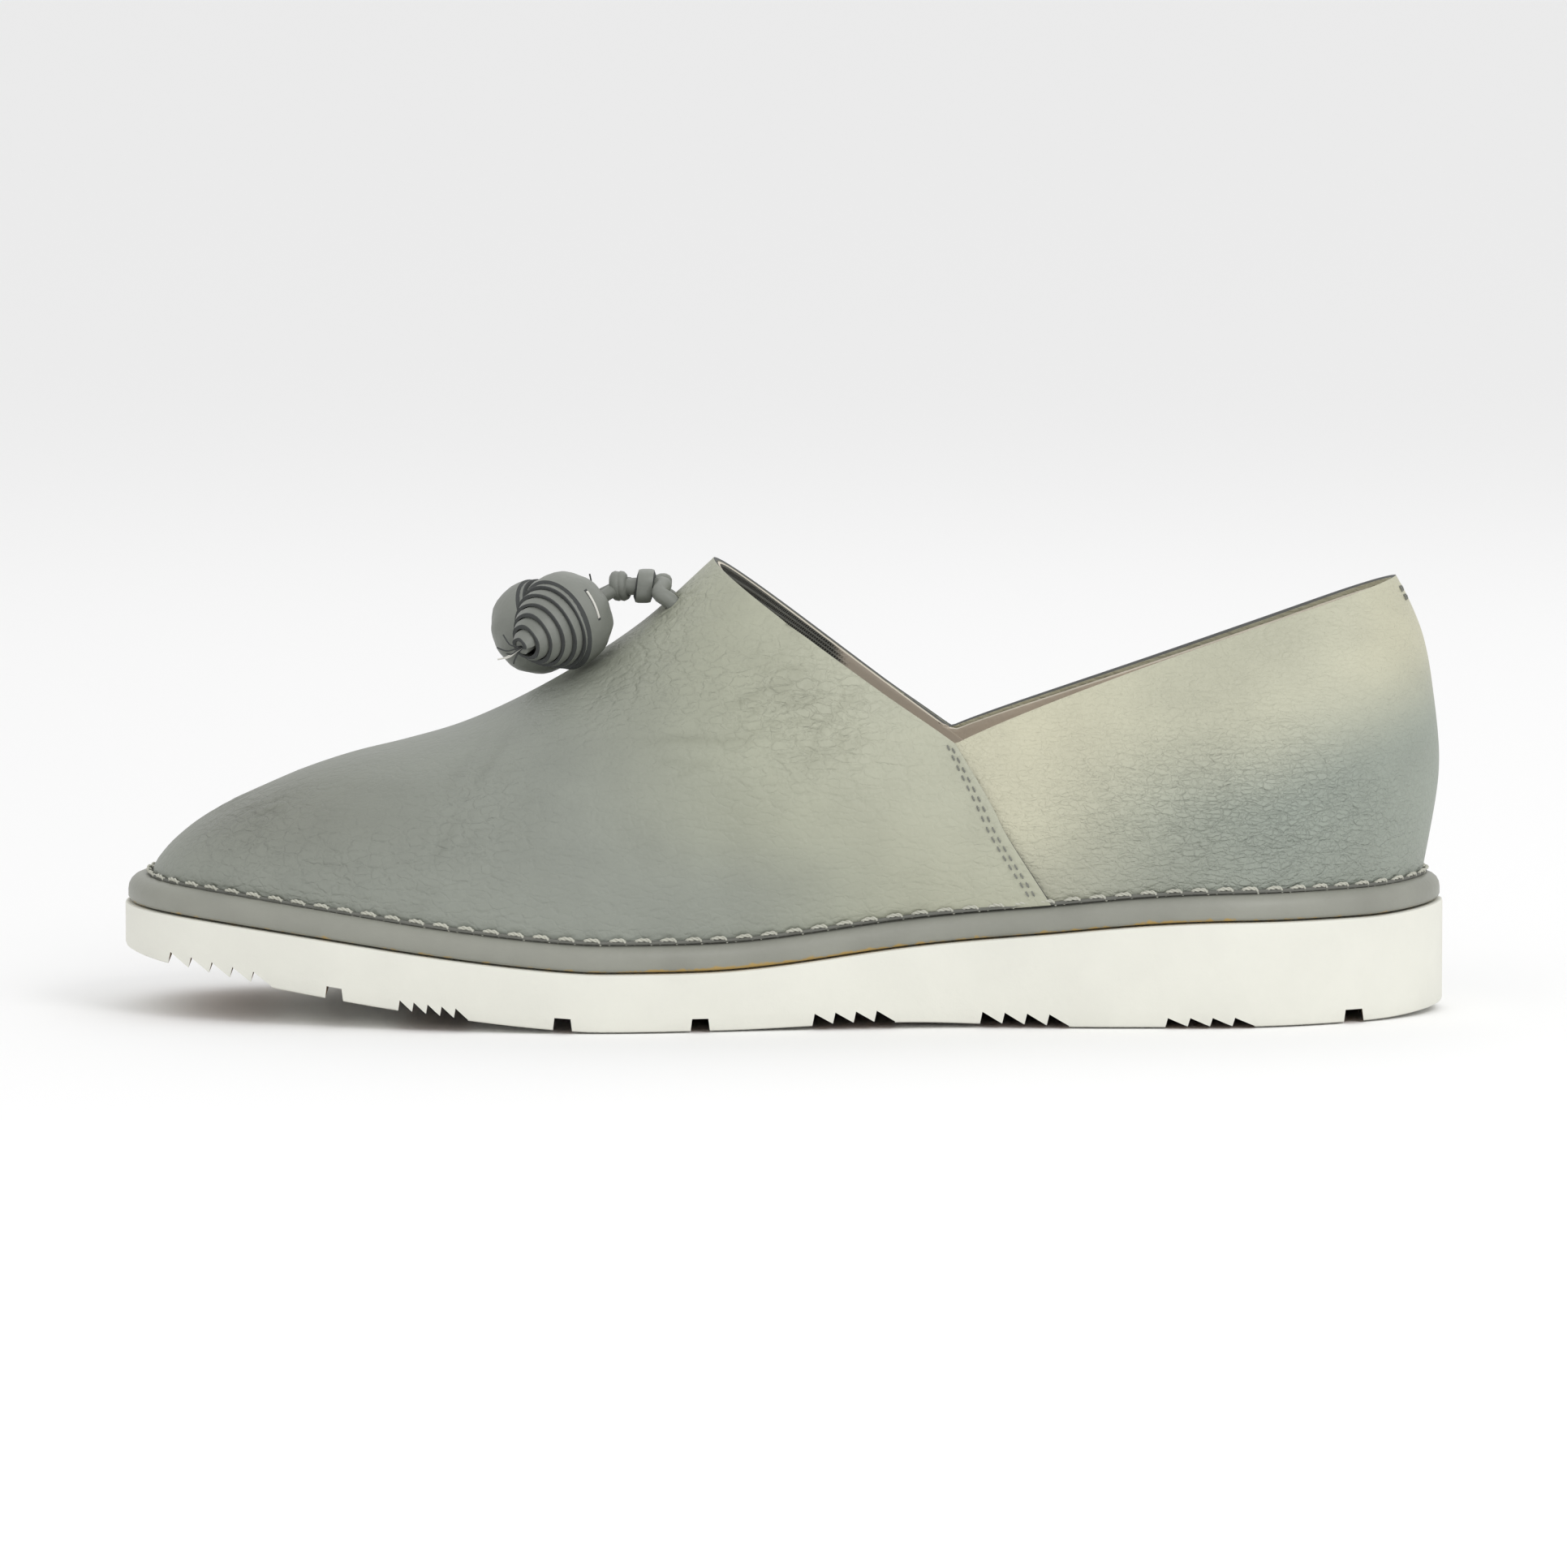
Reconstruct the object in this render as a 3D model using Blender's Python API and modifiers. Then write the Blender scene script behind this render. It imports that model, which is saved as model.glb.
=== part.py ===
# Slip-on loafer, left shoe: a hollow leather upper on a wrapped rand and a notched wedge sole.
# Metres, +Z up. The toe points along -X, the medial side is +Y and the floor is Z = 0.

import math
from collections import namedtuple

import bmesh
import bpy
from mathutils import Vector
from mathutils.bvhtree import BVHTree

# Sole
SOLE_LENGTH = 0.2724
BALL_WIDTH = 0.094
FOREFOOT_SOLE = 0.0118
HEEL_SOLE = 0.0213
TOE_THINNING = 0.0026
TOE_SPRING = 0.0126
WAIST_LIFT = 0.0010
HEEL_BEVEL = 0.0014
SOLE_EDGE_RADIUS = 0.0008
TREAD_DEPTH = 0.0026

# Rand, the wrapped layer between sole and upper
RAND_THICKNESS = 0.0056
RAND_SETBACK = 0.0006
RAND_RADIUS = 0.0034

# Upper
UPPER_TOE_SETBACK = 0.0058
UPPER_HEEL_SETBACK = 0.0003
LEDGE = 0.0056
HEEL_BULGE = 0.020
INSTEP_RISE = 0.069
COLLAR_LOW = 0.0573
HEEL_HEIGHT = 0.0895
MEDIAL_DROP = 0.0030
WALL = 0.0020
VAMP_LAP = 0.0010
LAP_FADE = 0.030
EDGE_BAND = 0.0014

# Inside
INSOLE_THICKNESS = 0.0022
FOOTBED_THICKNESS = 0.0014
BORDER = 0.0034
HEEL_BORDER = 0.0090

# Cord and tassels
CORD_DIAMETER = 0.0030
HOLE_SPACING = 0.016
WRAP_LENGTH = 0.0042
WRAP_WIDTH = 0.0098
WRAP_HEIGHT = 0.0058
KNOT_RADIUS = 0.0027
TASSEL_RADIUS = 0.0100
TASSEL_LENGTH = 0.0240
TASSEL_RINGS = 6
RING_STEP = 0.0007

# Clearance between pieces that meet
GAP = 0.0003

# Shares of SOLE_LENGTH, measured from the toe
SPRING_END = 0.360
WAIST_START = 0.450
WAIST_END = 0.720
BEVEL_START = 0.935
THINNING_END = 0.200
WEDGE_START = 0.420
WEDGE_END = 0.840
THROAT_AT = 0.447
COLLAR_LOW_AT = 0.628
SEAM_FOOT_AT = 0.700
HOLES_AT = 0.4156

SPRING_POWER = 1.35
TOPLINE_POWER = 0.9

# Mesh density
SOLE_STEPS = 34
VAMP_STEPS = 19
QUARTER_STEPS = 16
TUCK_ROWS = (0.0, 0.14, 0.45, 0.75, 1.0)
OVER_ROWS = 12
ROW_POWER = 1.5
SOFT_PASSES = 3
TURNED_STEPS = 20

# One row for each of 13 stations from toe to heel, evenly spaced round half a turn of the outline.
# sole, wide and ridge are shares of BALL_WIDTH, ledge of LEDGE, rise of HEEL_BULGE, crown of INSTEP_RISE.
# arch and shoulder are the two powers of the section curve.
Section = namedtuple(
    "Section",
    "sole_lat sole_med ledge wide_lat wide_med rise_lat rise_med crown ridge arch shoulder",
)
SECTIONS = (
    Section(0.029, 0.029, 1.00, 0.032, 0.032, 0.08, 0.08, 0.000, 0.032, 2.20, 2.10),
    Section(-0.147, 0.230, 0.96, -0.137, 0.215, 0.10, 0.10, 0.100, 0.034, 2.20, 2.10),
    Section(-0.274, 0.349, 0.89, -0.255, 0.323, 0.18, 0.18, 0.201, 0.037, 2.30, 2.10),
    Section(-0.380, 0.429, 0.75, -0.353, 0.403, 0.30, 0.30, 0.317, 0.045, 2.30, 2.00),
    Section(-0.464, 0.498, 0.61, -0.439, 0.464, 0.45, 0.45, 0.436, 0.055, 2.20, 1.95),
    Section(-0.500, 0.457, 0.55, -0.470, 0.450, 0.60, 0.65, 0.678, 0.069, 2.05, 1.75),
    Section(-0.440, 0.282, 0.52, -0.424, 0.410, 0.75, 0.90, 1.000, 0.080, 1.85, 1.55),
    Section(-0.393, 0.195, 0.46, -0.394, 0.379, 0.80, 1.10, 0.867, 0.053, 1.40, 1.25),
    Section(-0.405, 0.272, 0.50, -0.391, 0.357, 0.85, 1.10, 0.788, 0.027, 1.20, 1.15),
    Section(-0.394, 0.314, 0.57, -0.374, 0.338, 0.95, 1.00, 0.761, 0.005, 1.25, 1.20),
    Section(-0.294, 0.248, 0.68, -0.280, 0.258, 1.00, 1.00, 0.739, -0.005, 1.45, 1.35),
    Section(-0.160, 0.130, 0.75, -0.142, 0.130, 1.00, 1.00, 0.449, -0.005, 1.80, 1.80),
    Section(-0.016, -0.016, 0.75, -0.005, -0.005, 1.00, 1.00, 0.000, -0.005, 2.00, 2.00),
)
STATIONS = len(SECTIONS) - 1

# Grooves across the sole: start and pitch are shares of SOLE_LENGTH, depth is a share of TREAD_DEPTH.
# A groove with no teeth is square and one pitch wide.
Tread = namedtuple("Tread", "start teeth pitch depth")
TREAD = (
    Tread(0.0359, 5, 0.0160, 1.00),
    Tread(0.1555, 0, 0.0158, 1.00),
    Tread(0.2117, 5, 0.0105, 0.88),
    Tread(0.3266, 0, 0.0168, 1.00),
    Tread(0.4294, 0, 0.0168, 1.00),
    Tread(0.5215, 4, 0.0155, 1.00),
    Tread(0.6471, 4, 0.0167, 1.00),
    Tread(0.7859, 4, 0.0168, 0.77),
    Tread(0.9199, 0, 0.0178, 1.00),
)


# Curves through the table

def cubic(values, place):
    """Smooth closed curve through evenly spaced values, read at a place counted in stations."""
    first = math.floor(place)
    t = place - first
    a, b, c, d = (values[(first + step) % len(values)] for step in (-1, 0, 1, 2))
    bend = (2 * a - 5 * b + 4 * c - d) * t * t + (3 * b - a - 3 * c + d) * t * t * t
    return 0.5 * (2 * b + (c - a) * t + bend)


def round_table(lateral, medial):
    """Column values in order round the shoe: lateral side toe to heel, then medial side back."""
    out = [getattr(row, lateral) for row in SECTIONS]
    back = [getattr(row, medial) for row in SECTIONS]
    return out + back[-2:0:-1]


SOLE_Y = round_table("sole_lat", "sole_med")
WIDE_Y = round_table("wide_lat", "wide_med")
RISE = round_table("rise_lat", "rise_med")
LEDGES = round_table("ledge", "ledge")
CROWN = round_table("crown", "crown")
RIDGE = round_table("ridge", "ridge")
ARCH = round_table("arch", "arch")
SHOULDER = round_table("shoulder", "shoulder")

SOLE_HALF = SOLE_LENGTH / 2
UPPER_FRONT = -SOLE_HALF + UPPER_TOE_SETBACK
UPPER_BACK = SOLE_HALF - UPPER_HEEL_SETBACK
UPPER_MID = (UPPER_FRONT + UPPER_BACK) / 2
UPPER_HALF = (UPPER_BACK - UPPER_FRONT) / 2


def share_to_x(share):
    return (share - 0.5) * SOLE_LENGTH


def ease(share, start, end):
    """0 before start, 1 after end and a soft ramp between."""
    t = min(max((share - start) / (end - start), 0.0), 1.0)
    return t * t * (3 - 2 * t)


# Heights along the shoe

def ground(x):
    """Underside of the sole: toe spring, forefoot flat, slight waist, heel flat and bevelled back."""
    share = x / SOLE_LENGTH + 0.5
    spring = TOE_SPRING * max(1 - share / SPRING_END, 0.0) ** SPRING_POWER
    waist_mid = (WAIST_START + WAIST_END) / 2
    waist = ease(share, WAIST_START, waist_mid) - ease(share, waist_mid, WAIST_END)
    bevel = max((share - BEVEL_START) / (1 - BEVEL_START), 0.0) ** 2
    return spring + WAIST_LIFT * waist + HEEL_BEVEL * bevel


def sole_top(x):
    share = x / SOLE_LENGTH + 0.5
    wedge = ease(share, WEDGE_START, WEDGE_END)
    thin = TOE_THINNING * max(1 - share / THINNING_END, 0.0) ** 2
    return ground(x) + FOREFOOT_SOLE + (HEEL_SOLE - FOREFOOT_SOLE) * wedge - thin


def rand_top(x):
    return sole_top(x) + GAP + RAND_THICKNESS


# Outlines seen from above

def sole_outline(place):
    x = -SOLE_HALF * math.cos(math.pi * place / STATIONS)
    return Vector((x, BALL_WIDTH * cubic(SOLE_Y, place), 0.0))


def outward(place):
    """Unit vector pointing away from the sole's edge, level with the floor."""
    step = 0.02
    along = sole_outline(place + step) - sole_outline(place - step)
    return Vector((-along.y, along.x, 0.0)).normalized() * -1


def inset_outline(place, inset):
    return sole_outline(place) - outward(place) * inset


def feather(place):
    """Where the upper's outer face meets the rand."""
    point = inset_outline(place, LEDGE * cubic(LEDGES, place))
    point.z = rand_top(point.x) + GAP
    return point


def widest(place):
    """The line round the upper where it bulges most."""
    x = UPPER_MID - UPPER_HALF * math.cos(math.pi * place / STATIONS)
    z = rand_top(x) + GAP + HEEL_BULGE * cubic(RISE, place)
    return Vector((x, BALL_WIDTH * cubic(WIDE_Y, place), z))


# The last's surface above its widest line

def station(x):
    """Place along the lateral half of the upper's outline for a given x."""
    turn = (UPPER_MID - x) / UPPER_HALF
    return math.acos(min(max(turn, -1.0), 1.0)) * STATIONS / math.pi


def section(x, side):
    """Centre, half width, height of the widest line, top height and powers of the section at x."""
    place = station(x)
    edge = widest(place if side < 0 else 2 * STATIONS - place)
    centre = BALL_WIDTH * cubic(RIDGE, place)
    rise = (cubic(RISE, place) + cubic(RISE, 2 * STATIONS - place)) / 2
    top = rand_top(x) + GAP + HEEL_BULGE * rise + INSTEP_RISE * max(cubic(CROWN, place), 0.0)
    return centre, abs(edge.y - centre), edge.z, top, cubic(ARCH, place), cubic(SHOULDER, place)


def last_height(x, y):
    side = 1 if y > BALL_WIDTH * cubic(RIDGE, station(x)) else -1
    centre, half, low, top, arch, shoulder = section(x, side)
    across = min(abs(y - centre) / max(half, 1e-6), 1.0)
    return low + (top - low) * (1 - across**arch) ** (1 / shoulder)


def last_point(x, y):
    return Vector((x, y, last_height(x, y)))


# The collar

def heel_end():
    """x at which the back of the last reaches the collar's height at the heel."""
    front, back = share_to_x(COLLAR_LOW_AT), UPPER_BACK
    for _ in range(50):
        middle = (front + back) / 2
        if section(middle, 1)[3] > HEEL_HEIGHT or middle < share_to_x(BEVEL_START - 0.05):
            front = middle
        else:
            back = middle
    return front


COLLAR_FRONT = share_to_x(THROAT_AT)
COLLAR_BACK = heel_end()
COLLAR_DIP = share_to_x(COLLAR_LOW_AT)
COLLAR_TURN = (COLLAR_DIP - COLLAR_FRONT) / (COLLAR_BACK - COLLAR_FRONT)
SEAM_SHARE = math.acos(1 - 2 * COLLAR_TURN) / math.pi


def collar_height(x, side):
    if x < COLLAR_DIP:
        throat = section(COLLAR_FRONT, side)[3]
        fall = (x - COLLAR_FRONT) / (COLLAR_DIP - COLLAR_FRONT)
        height = throat + (COLLAR_LOW - throat) * fall
    else:
        climb = (x - COLLAR_DIP) / (COLLAR_BACK - COLLAR_DIP)
        height = COLLAR_LOW + (HEEL_HEIGHT - COLLAR_LOW) * max(climb, 0.0) ** TOPLINE_POWER
    if side > 0:
        along = (x - COLLAR_FRONT) / (COLLAR_BACK - COLLAR_FRONT)
        height -= MEDIAL_DROP * math.sin(math.pi * along)
    return height


def collar_point(share, side):
    """A point of the collar's edge, with share 0 at the throat and 1 at the heel."""
    x = COLLAR_FRONT + (COLLAR_BACK - COLLAR_FRONT) * (1 - math.cos(math.pi * share)) / 2
    centre, half, low, top, arch, shoulder = section(x, side)
    up = min(max((collar_height(x, side) - low) / (top - low), 0.0), 1.0)
    across = (1 - up**shoulder) ** (1 / arch)
    return Vector((x, centre + side * half * across, 0.0))


# Columns of the upper, each from the feather line up to the collar

SEAM_WIDE = station((share_to_x(COLLAR_LOW_AT) + share_to_x(SEAM_FOOT_AT)) / 2)
SEAM_SWEEP = STATIONS * math.acos(1 - 2 * SEAM_FOOT_AT) / math.pi - SEAM_WIDE


def collar_share(place):
    """Which point of the collar a column reaches, so that the seam ends at the collar's low point."""
    if place < SEAM_WIDE:
        v = place / SEAM_WIDE
        return SEAM_SHARE * (0.45 * v + 0.55 * v * v)
    v = (place - SEAM_WIDE) / (STATIONS - SEAM_WIDE)
    return SEAM_SHARE + (1 - SEAM_SHARE) * (1.3 * v - 0.3 * v * v)


def soften(points):
    """Rounds a column where it turns in over the widest line."""
    for _ in range(SOFT_PASSES):
        before = points[:]
        for j in range(2, len(TUCK_ROWS) + 4):
            points[j] = before[j] * 0.5 + (before[j - 1] + before[j + 1]) * 0.25
    return points


def column(place, side):
    """Points of the last's surface from the feather line to the collar."""
    sweep = SEAM_SWEEP * math.exp(-(((place - SEAM_WIDE) / 2.2) ** 2))
    sweep *= ease(place, 0, 2) * (1 - ease(place, STATIONS - 2, STATIONS))
    turned = place if side < 0 else 2 * STATIONS - place
    foot = feather(turned - side * sweep)
    wide = widest(turned)
    rim = collar_point(collar_share(place), side)
    points = []
    for t in TUCK_ROWS:
        out = math.sin(t * math.pi / 2)
        x = foot.x + (wide.x - foot.x) * t
        y = foot.y + (wide.y - foot.y) * out
        points.append(Vector((x, y, foot.z + (wide.z - foot.z) * t)))
    reach = (rim.xy - wide.xy).length
    shares = [(row / OVER_ROWS) ** ROW_POWER for row in range(1, OVER_ROWS)]
    shares = [s for s in shares if (1 - s) * reach > 2 * EDGE_BAND]
    while len(shares) < OVER_ROWS - 1:
        shares.append((shares[-1] + 1 - EDGE_BAND / reach) / 2)
    for s in shares + [1 - EDGE_BAND / reach, 1.0]:
        x = wide.x + (rim.x - wide.x) * s
        y = wide.y + (rim.y - wide.y) * s
        points.append(last_point(x, y))
    return soften(points)


def column_places():
    """Places of the columns along one side, with a close pair at the seam."""
    places = [SEAM_WIDE * n / VAMP_STEPS for n in range(VAMP_STEPS + 1)]
    behind = SEAM_WIDE + 0.022
    return places + [behind + (STATIONS - behind) * n / QUARTER_STEPS for n in range(QUARTER_STEPS + 1)]


def lap(place):
    """How far the vamp stands out: its lap over the quarter at the seam, fading forwards."""
    if place > SEAM_WIDE + 1e-6:
        return 0.0
    back = UPPER_MID - UPPER_HALF * math.cos(math.pi * SEAM_WIDE / STATIONS)
    here = UPPER_MID - UPPER_HALF * math.cos(math.pi * place / STATIONS)
    return VAMP_LAP * (1 - ease(back - here, 0, LAP_FADE))


def grid_normals(grid):
    """Outward unit normals of a grid of points that closes on itself column to column."""
    count = len(grid)
    normals = []
    for i, points in enumerate(grid):
        line = []
        for j in range(len(points)):
            up = points[min(j + 1, len(points) - 1)] - points[max(j - 1, 0)]
            along = grid[(i + 1) % count][j] - grid[i - 1][j]
            line.append(along.cross(up).normalized() * -1)
        normals.append(line)
    return normals


def upper_grids():
    """Outer and inner grids of the upper, column by column round the shoe."""
    places = column_places()
    order = [(place, -1) for place in places] + [(place, 1) for place in places[-2:0:-1]]
    base = [column(place, side) for place, side in order]
    normals = grid_normals(base)
    if sum(n[3].dot(Vector((p[3].x, p[3].y, 0))) for n, p in zip(normals, base)) < 0:
        normals = [[-n for n in line] for line in normals]
    outer, inner = [], []
    for (place, _), points, line in zip(order, base, normals):
        level = Vector((line[0].x, line[0].y, 0.0)).normalized()
        line = [level] + line[1:]
        out = lap(place)
        outer.append([p + n * out for p, n in zip(points, line)])
        inner.append([p - n * WALL for p, n in zip(points, line)])
    return outer, inner


# Mesh helpers

def new_material(name, colour, roughness):
    material = bpy.data.materials.new(name)
    material.use_nodes = True
    shader = material.node_tree.nodes["Principled BSDF"]
    shader.inputs["Base Color"].default_value = (*colour, 1.0)
    shader.inputs["Roughness"].default_value = roughness
    shader.inputs["Metallic"].default_value = 0.0
    return material


def new_object(name, points, faces, material, collection):
    mesh = bpy.data.meshes.new(name)
    mesh.from_pydata([tuple(p) for p in points], [], faces)
    work = bmesh.new()
    work.from_mesh(mesh)
    bmesh.ops.recalc_face_normals(work, faces=work.faces)
    if work.calc_volume(signed=True) < 0:
        bmesh.ops.reverse_faces(work, faces=work.faces)
    work.to_mesh(mesh)
    work.free()
    mesh.materials.append(material)
    mesh.shade_smooth()
    mesh.set_sharp_from_angle(angle=math.radians(35))
    thing = bpy.data.objects.new(name, mesh)
    collection.objects.link(thing)
    return thing


def band(first, second, count):
    """Quads between two rings whose points start at the given numbers."""
    return [
        (first + i, first + (i + 1) % count, second + (i + 1) % count, second + i)
        for i in range(count)
    ]


def strip_cap(first, count):
    """Faces that close a ring of points by joining its lateral side to its medial side."""
    half = count // 2
    faces = [(first, first + 1, first + count - 1)]
    for i in range(1, half - 1):
        faces.append((first + i, first + i + 1, first + count - i - 1, first + count - i))
    faces.append((first + half - 1, first + half, first + half + 1))
    return faces


def stack(name, rings, material, collection):
    """A solid from rings of points, one above the other, closed at both ends."""
    count = len(rings[0])
    faces = strip_cap(0, count)
    for n in range(len(rings) - 1):
        faces += band(n * count, (n + 1) * count, count)
    faces += strip_cap((len(rings) - 1) * count, count)
    points = [point for ring in rings for point in ring]
    return new_object(name, points, faces, material, collection)


def cutter(name, points, faces, collection):
    thing = new_object(name, points, faces, bpy.data.materials["cutter"], collection)
    thing.hide_render = True
    thing.display_type = "WIRE"
    return thing


def cut(thing, tool):
    modifier = thing.modifiers.new("cut " + tool.name, "BOOLEAN")
    modifier.operation = "DIFFERENCE"
    modifier.solver = "EXACT"
    modifier.object = tool


# Pieces

def edge_ring(inset, height):
    """Ring of points round the sole at an inset, at a height given by a function of x."""
    ring = []
    for n in range(2 * SOLE_STEPS):
        point = inset_outline(n * STATIONS / SOLE_STEPS, inset)
        point.z = height(point.x)
        ring.append(point)
    return ring


def groove_profile(tread):
    """Outline of one group of grooves in the XZ plane, from below the sole up into it."""
    start = share_to_x(tread.start)
    pitch = tread.pitch * SOLE_LENGTH
    depth = TREAD_DEPTH * tread.depth
    below = -TREAD_DEPTH
    if tread.teeth == 0:
        lean = 0.14 * pitch
        roof = [(start + lean, depth), (start + pitch - lean, depth)]
        return [(start, below)] + roof + [(start + pitch, below)]
    profile = [(start, below), (start, 0.0)]
    for n in range(tread.teeth):
        at = start + n * pitch
        profile += [(at + 0.12 * pitch, depth), (at + pitch, 0.12 * depth)]
    return profile + [(start + tread.teeth * pitch, below)]


def make_grooves(collection):
    points, faces = [], []
    for tread in TREAD:
        profile = groove_profile(tread)
        first = len(points)
        count = len(profile)
        for y in (-BALL_WIDTH, BALL_WIDTH):
            points += [Vector((x, y, ground(x) + up)) for x, up in profile]
        faces += band(first, first + count, count)
        faces.append(tuple(range(first, first + count)))
        faces.append(tuple(range(first + 2 * count - 1, first + count - 1, -1)))
    return cutter("sole_grooves", points, faces, collection)


def make_outsole(material, parts, cutters):
    radius = SOLE_EDGE_RADIUS
    rings = [
        edge_ring(radius, ground),
        edge_ring(0.0, lambda x: ground(x) + radius),
        edge_ring(0.0, lambda x: ground(x) + 1.3 * TREAD_DEPTH),
        edge_ring(0.0, sole_top),
    ]
    sole = stack("outsole", rings, material, parts)
    cut(sole, make_grooves(cutters))


def make_rand(material, parts):
    rings = [edge_ring(RAND_SETBACK + RAND_RADIUS / 4, lambda x: sole_top(x) + GAP)]
    rings.append(edge_ring(RAND_SETBACK, lambda x: sole_top(x) + GAP + RAND_RADIUS / 4))
    for degrees in (0, 30, 60, 90):
        turn = math.radians(degrees)
        drop = RAND_RADIUS * (1 - math.sin(turn))
        inset = RAND_SETBACK + RAND_RADIUS * (1 - math.cos(turn))
        rings.append(edge_ring(inset, lambda x, drop=drop: rand_top(x) - drop))
    stack("rand", rings, material, parts)


def make_upper(outer, inner, material, parts):
    rows = len(outer[0])
    count = len(outer)
    points = [p for points in outer for p in points] + [p for points in inner for p in points]
    shift = count * rows
    faces = []
    for i in range(count):
        here, there = i * rows, (i + 1) % count * rows
        for j in range(rows - 1):
            faces.append((here + j, there + j, there + j + 1, here + j + 1))
            faces.append((shift + here + j, shift + here + j + 1, shift + there + j + 1, shift + there + j))
        for j in (0, rows - 1):
            faces.append((here + j, there + j, shift + there + j, shift + here + j))
    return new_object("upper", points, faces, material, parts)


def inner_limit(points, height, inward):
    """The point furthest inward of a column of the inner wall, below the given height over its foot."""
    level = points[0].z + height
    reach = [points[0]]
    for low, high in zip(points, points[1:]):
        if high.z > level:
            reach.append(low.lerp(high, (level - low.z) / (high.z - low.z)))
            break
        reach.append(high)
    return max(reach, key=lambda p: p.dot(inward))


def make_inside(inner, materials, parts):
    """Insole board and footbed, both following the inside of the upper."""
    places = column_places()
    tall = INSOLE_THICKNESS + FOOTBED_THICKNESS + 6 * GAP
    board, sock = [], []
    count = len(inner)
    for i, points in enumerate(inner):
        along = inner[(i + 1) % count][0] - inner[i - 1][0]
        level = Vector((-along.y, along.x, 0.0)).normalized()
        near = inner_limit(points, tall, level)
        board.append(near + level * 2 * GAP)
        side_share = (i if i < len(places) else count - i) / (len(places) - 1)
        medial = i > len(places) - 1
        bare = BORDER * ease(side_share, 0.38, 0.5) if medial else 0.0
        bare += (HEEL_BORDER - bare) * ease(side_share, 0.80, 0.97)
        sock.append(near + level * (3 * GAP + bare))

    def layer(outline, low, high):
        rings = []
        for up in (low, high):
            rings.append([Vector((p.x, p.y, rand_top(p.x) + up)) for p in outline])
        return rings

    stack("insole", layer(board, GAP, GAP + INSOLE_THICKNESS), materials["insole"], parts)
    start = 2 * GAP + INSOLE_THICKNESS
    stack("footbed", layer(sock, start, start + FOOTBED_THICKNESS), materials["footbed"], parts)


def outer_surface(outer):
    """The upper's outer face as a surface to lay things on."""
    rows, count = len(outer[0]), len(outer)
    points = [p for points in outer for p in points]
    faces = []
    for i in range(count):
        here, there = i * rows, (i + 1) % count * rows
        faces += [(here + j, there + j, there + j + 1, here + j + 1) for j in range(rows - 1)]
    return BVHTree.FromPolygons(points, faces)


def lay_on(surface, x, y):
    """The point of the upper over (x, y), and its normal there."""
    point, normal, _, _ = surface.ray_cast(Vector((x, y, 2 * INSTEP_RISE)), Vector((0, 0, -1)))
    return point, normal if normal.z > 0 else -normal


def hole_points(surface):
    """The two holes of the cord on the vamp, each with the vamp's normal there."""
    x = share_to_x(HOLES_AT)
    middle = BALL_WIDTH * cubic(RIDGE, station(x))
    return [lay_on(surface, x, middle + side * HOLE_SPACING / 2) for side in (1, -1)]


def drill_holes(upper, holes, cutters):
    for number, (point, normal) in enumerate(holes):
        work = bmesh.new()
        radius = CORD_DIAMETER / 2 + GAP
        bmesh.ops.create_cone(work, cap_ends=True, segments=12, radius1=radius, radius2=radius, depth=6 * WALL)
        mesh = bpy.data.meshes.new(f"cord_hole_{number}")
        work.to_mesh(mesh)
        work.free()
        tool = bpy.data.objects.new(mesh.name, mesh)
        tool.rotation_mode = "QUATERNION"
        tool.rotation_quaternion = normal.to_track_quat("Z", "Y")
        tool.location = point
        tool.hide_render = True
        tool.display_type = "WIRE"
        cutters.objects.link(tool)
        cut(upper, tool)


def tube(name, route, diameter, material, collection):
    """A round cord along a smooth curve through the route's points."""
    curve = bpy.data.curves.new(name, "CURVE")
    curve.dimensions = "3D"
    curve.bevel_depth = diameter / 2
    curve.bevel_resolution = 2
    curve.use_fill_caps = True
    spline = curve.splines.new("POLY")
    smooth = []
    for i in range(len(route) - 1):
        a, b = route[max(i - 1, 0)], route[i]
        c, d = route[i + 1], route[min(i + 2, len(route) - 1)]
        for t in (0.0, 0.5):
            bend = (2 * a - 5 * b + 4 * c - d) * t * t + (3 * b - a - 3 * c + d) * t * t * t
            smooth.append(0.5 * (2 * b + (c - a) * t + bend))
    smooth.append(route[-1])
    spline.points.add(len(smooth) - 1)
    for point, place in zip(spline.points, smooth):
        point.co = (*place, 1.0)
    thing = bpy.data.objects.new(name, curve)
    curve.materials.append(material)
    collection.objects.link(thing)
    return thing


def make_cord(holes, wrap_centre, material, parts):
    """The cord: from the wrap down one hole, along the inside of the vamp and up the other hole."""
    thick = CORD_DIAMETER
    back = wrap_centre.x + WRAP_LENGTH / 2 + GAP
    ends = []
    for side, (point, normal) in zip((1, -1), holes):
        inside = point - normal * (WALL + 1.2 * thick)
        inside.y -= side * 0.5 * thick
        outside = point + normal * 0.85 * thick
        mouth = Vector((back, wrap_centre.y + side * 0.24 * WRAP_WIDTH, wrap_centre.z))
        stub = mouth + Vector((0.5 * thick, 0.0, 0.0))
        turn = mouth + Vector((0.9 * thick, side * 0.5 * thick, 0.0))
        ends.append([mouth, stub, turn, outside, point.copy(), point - normal * WALL, inside])
    middle = (ends[0][-1] + ends[1][-1]) / 2
    middle.z -= 0.1 * thick
    tube("vamp_cord", ends[0] + [middle] + ends[1][::-1], thick, material, parts)


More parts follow.
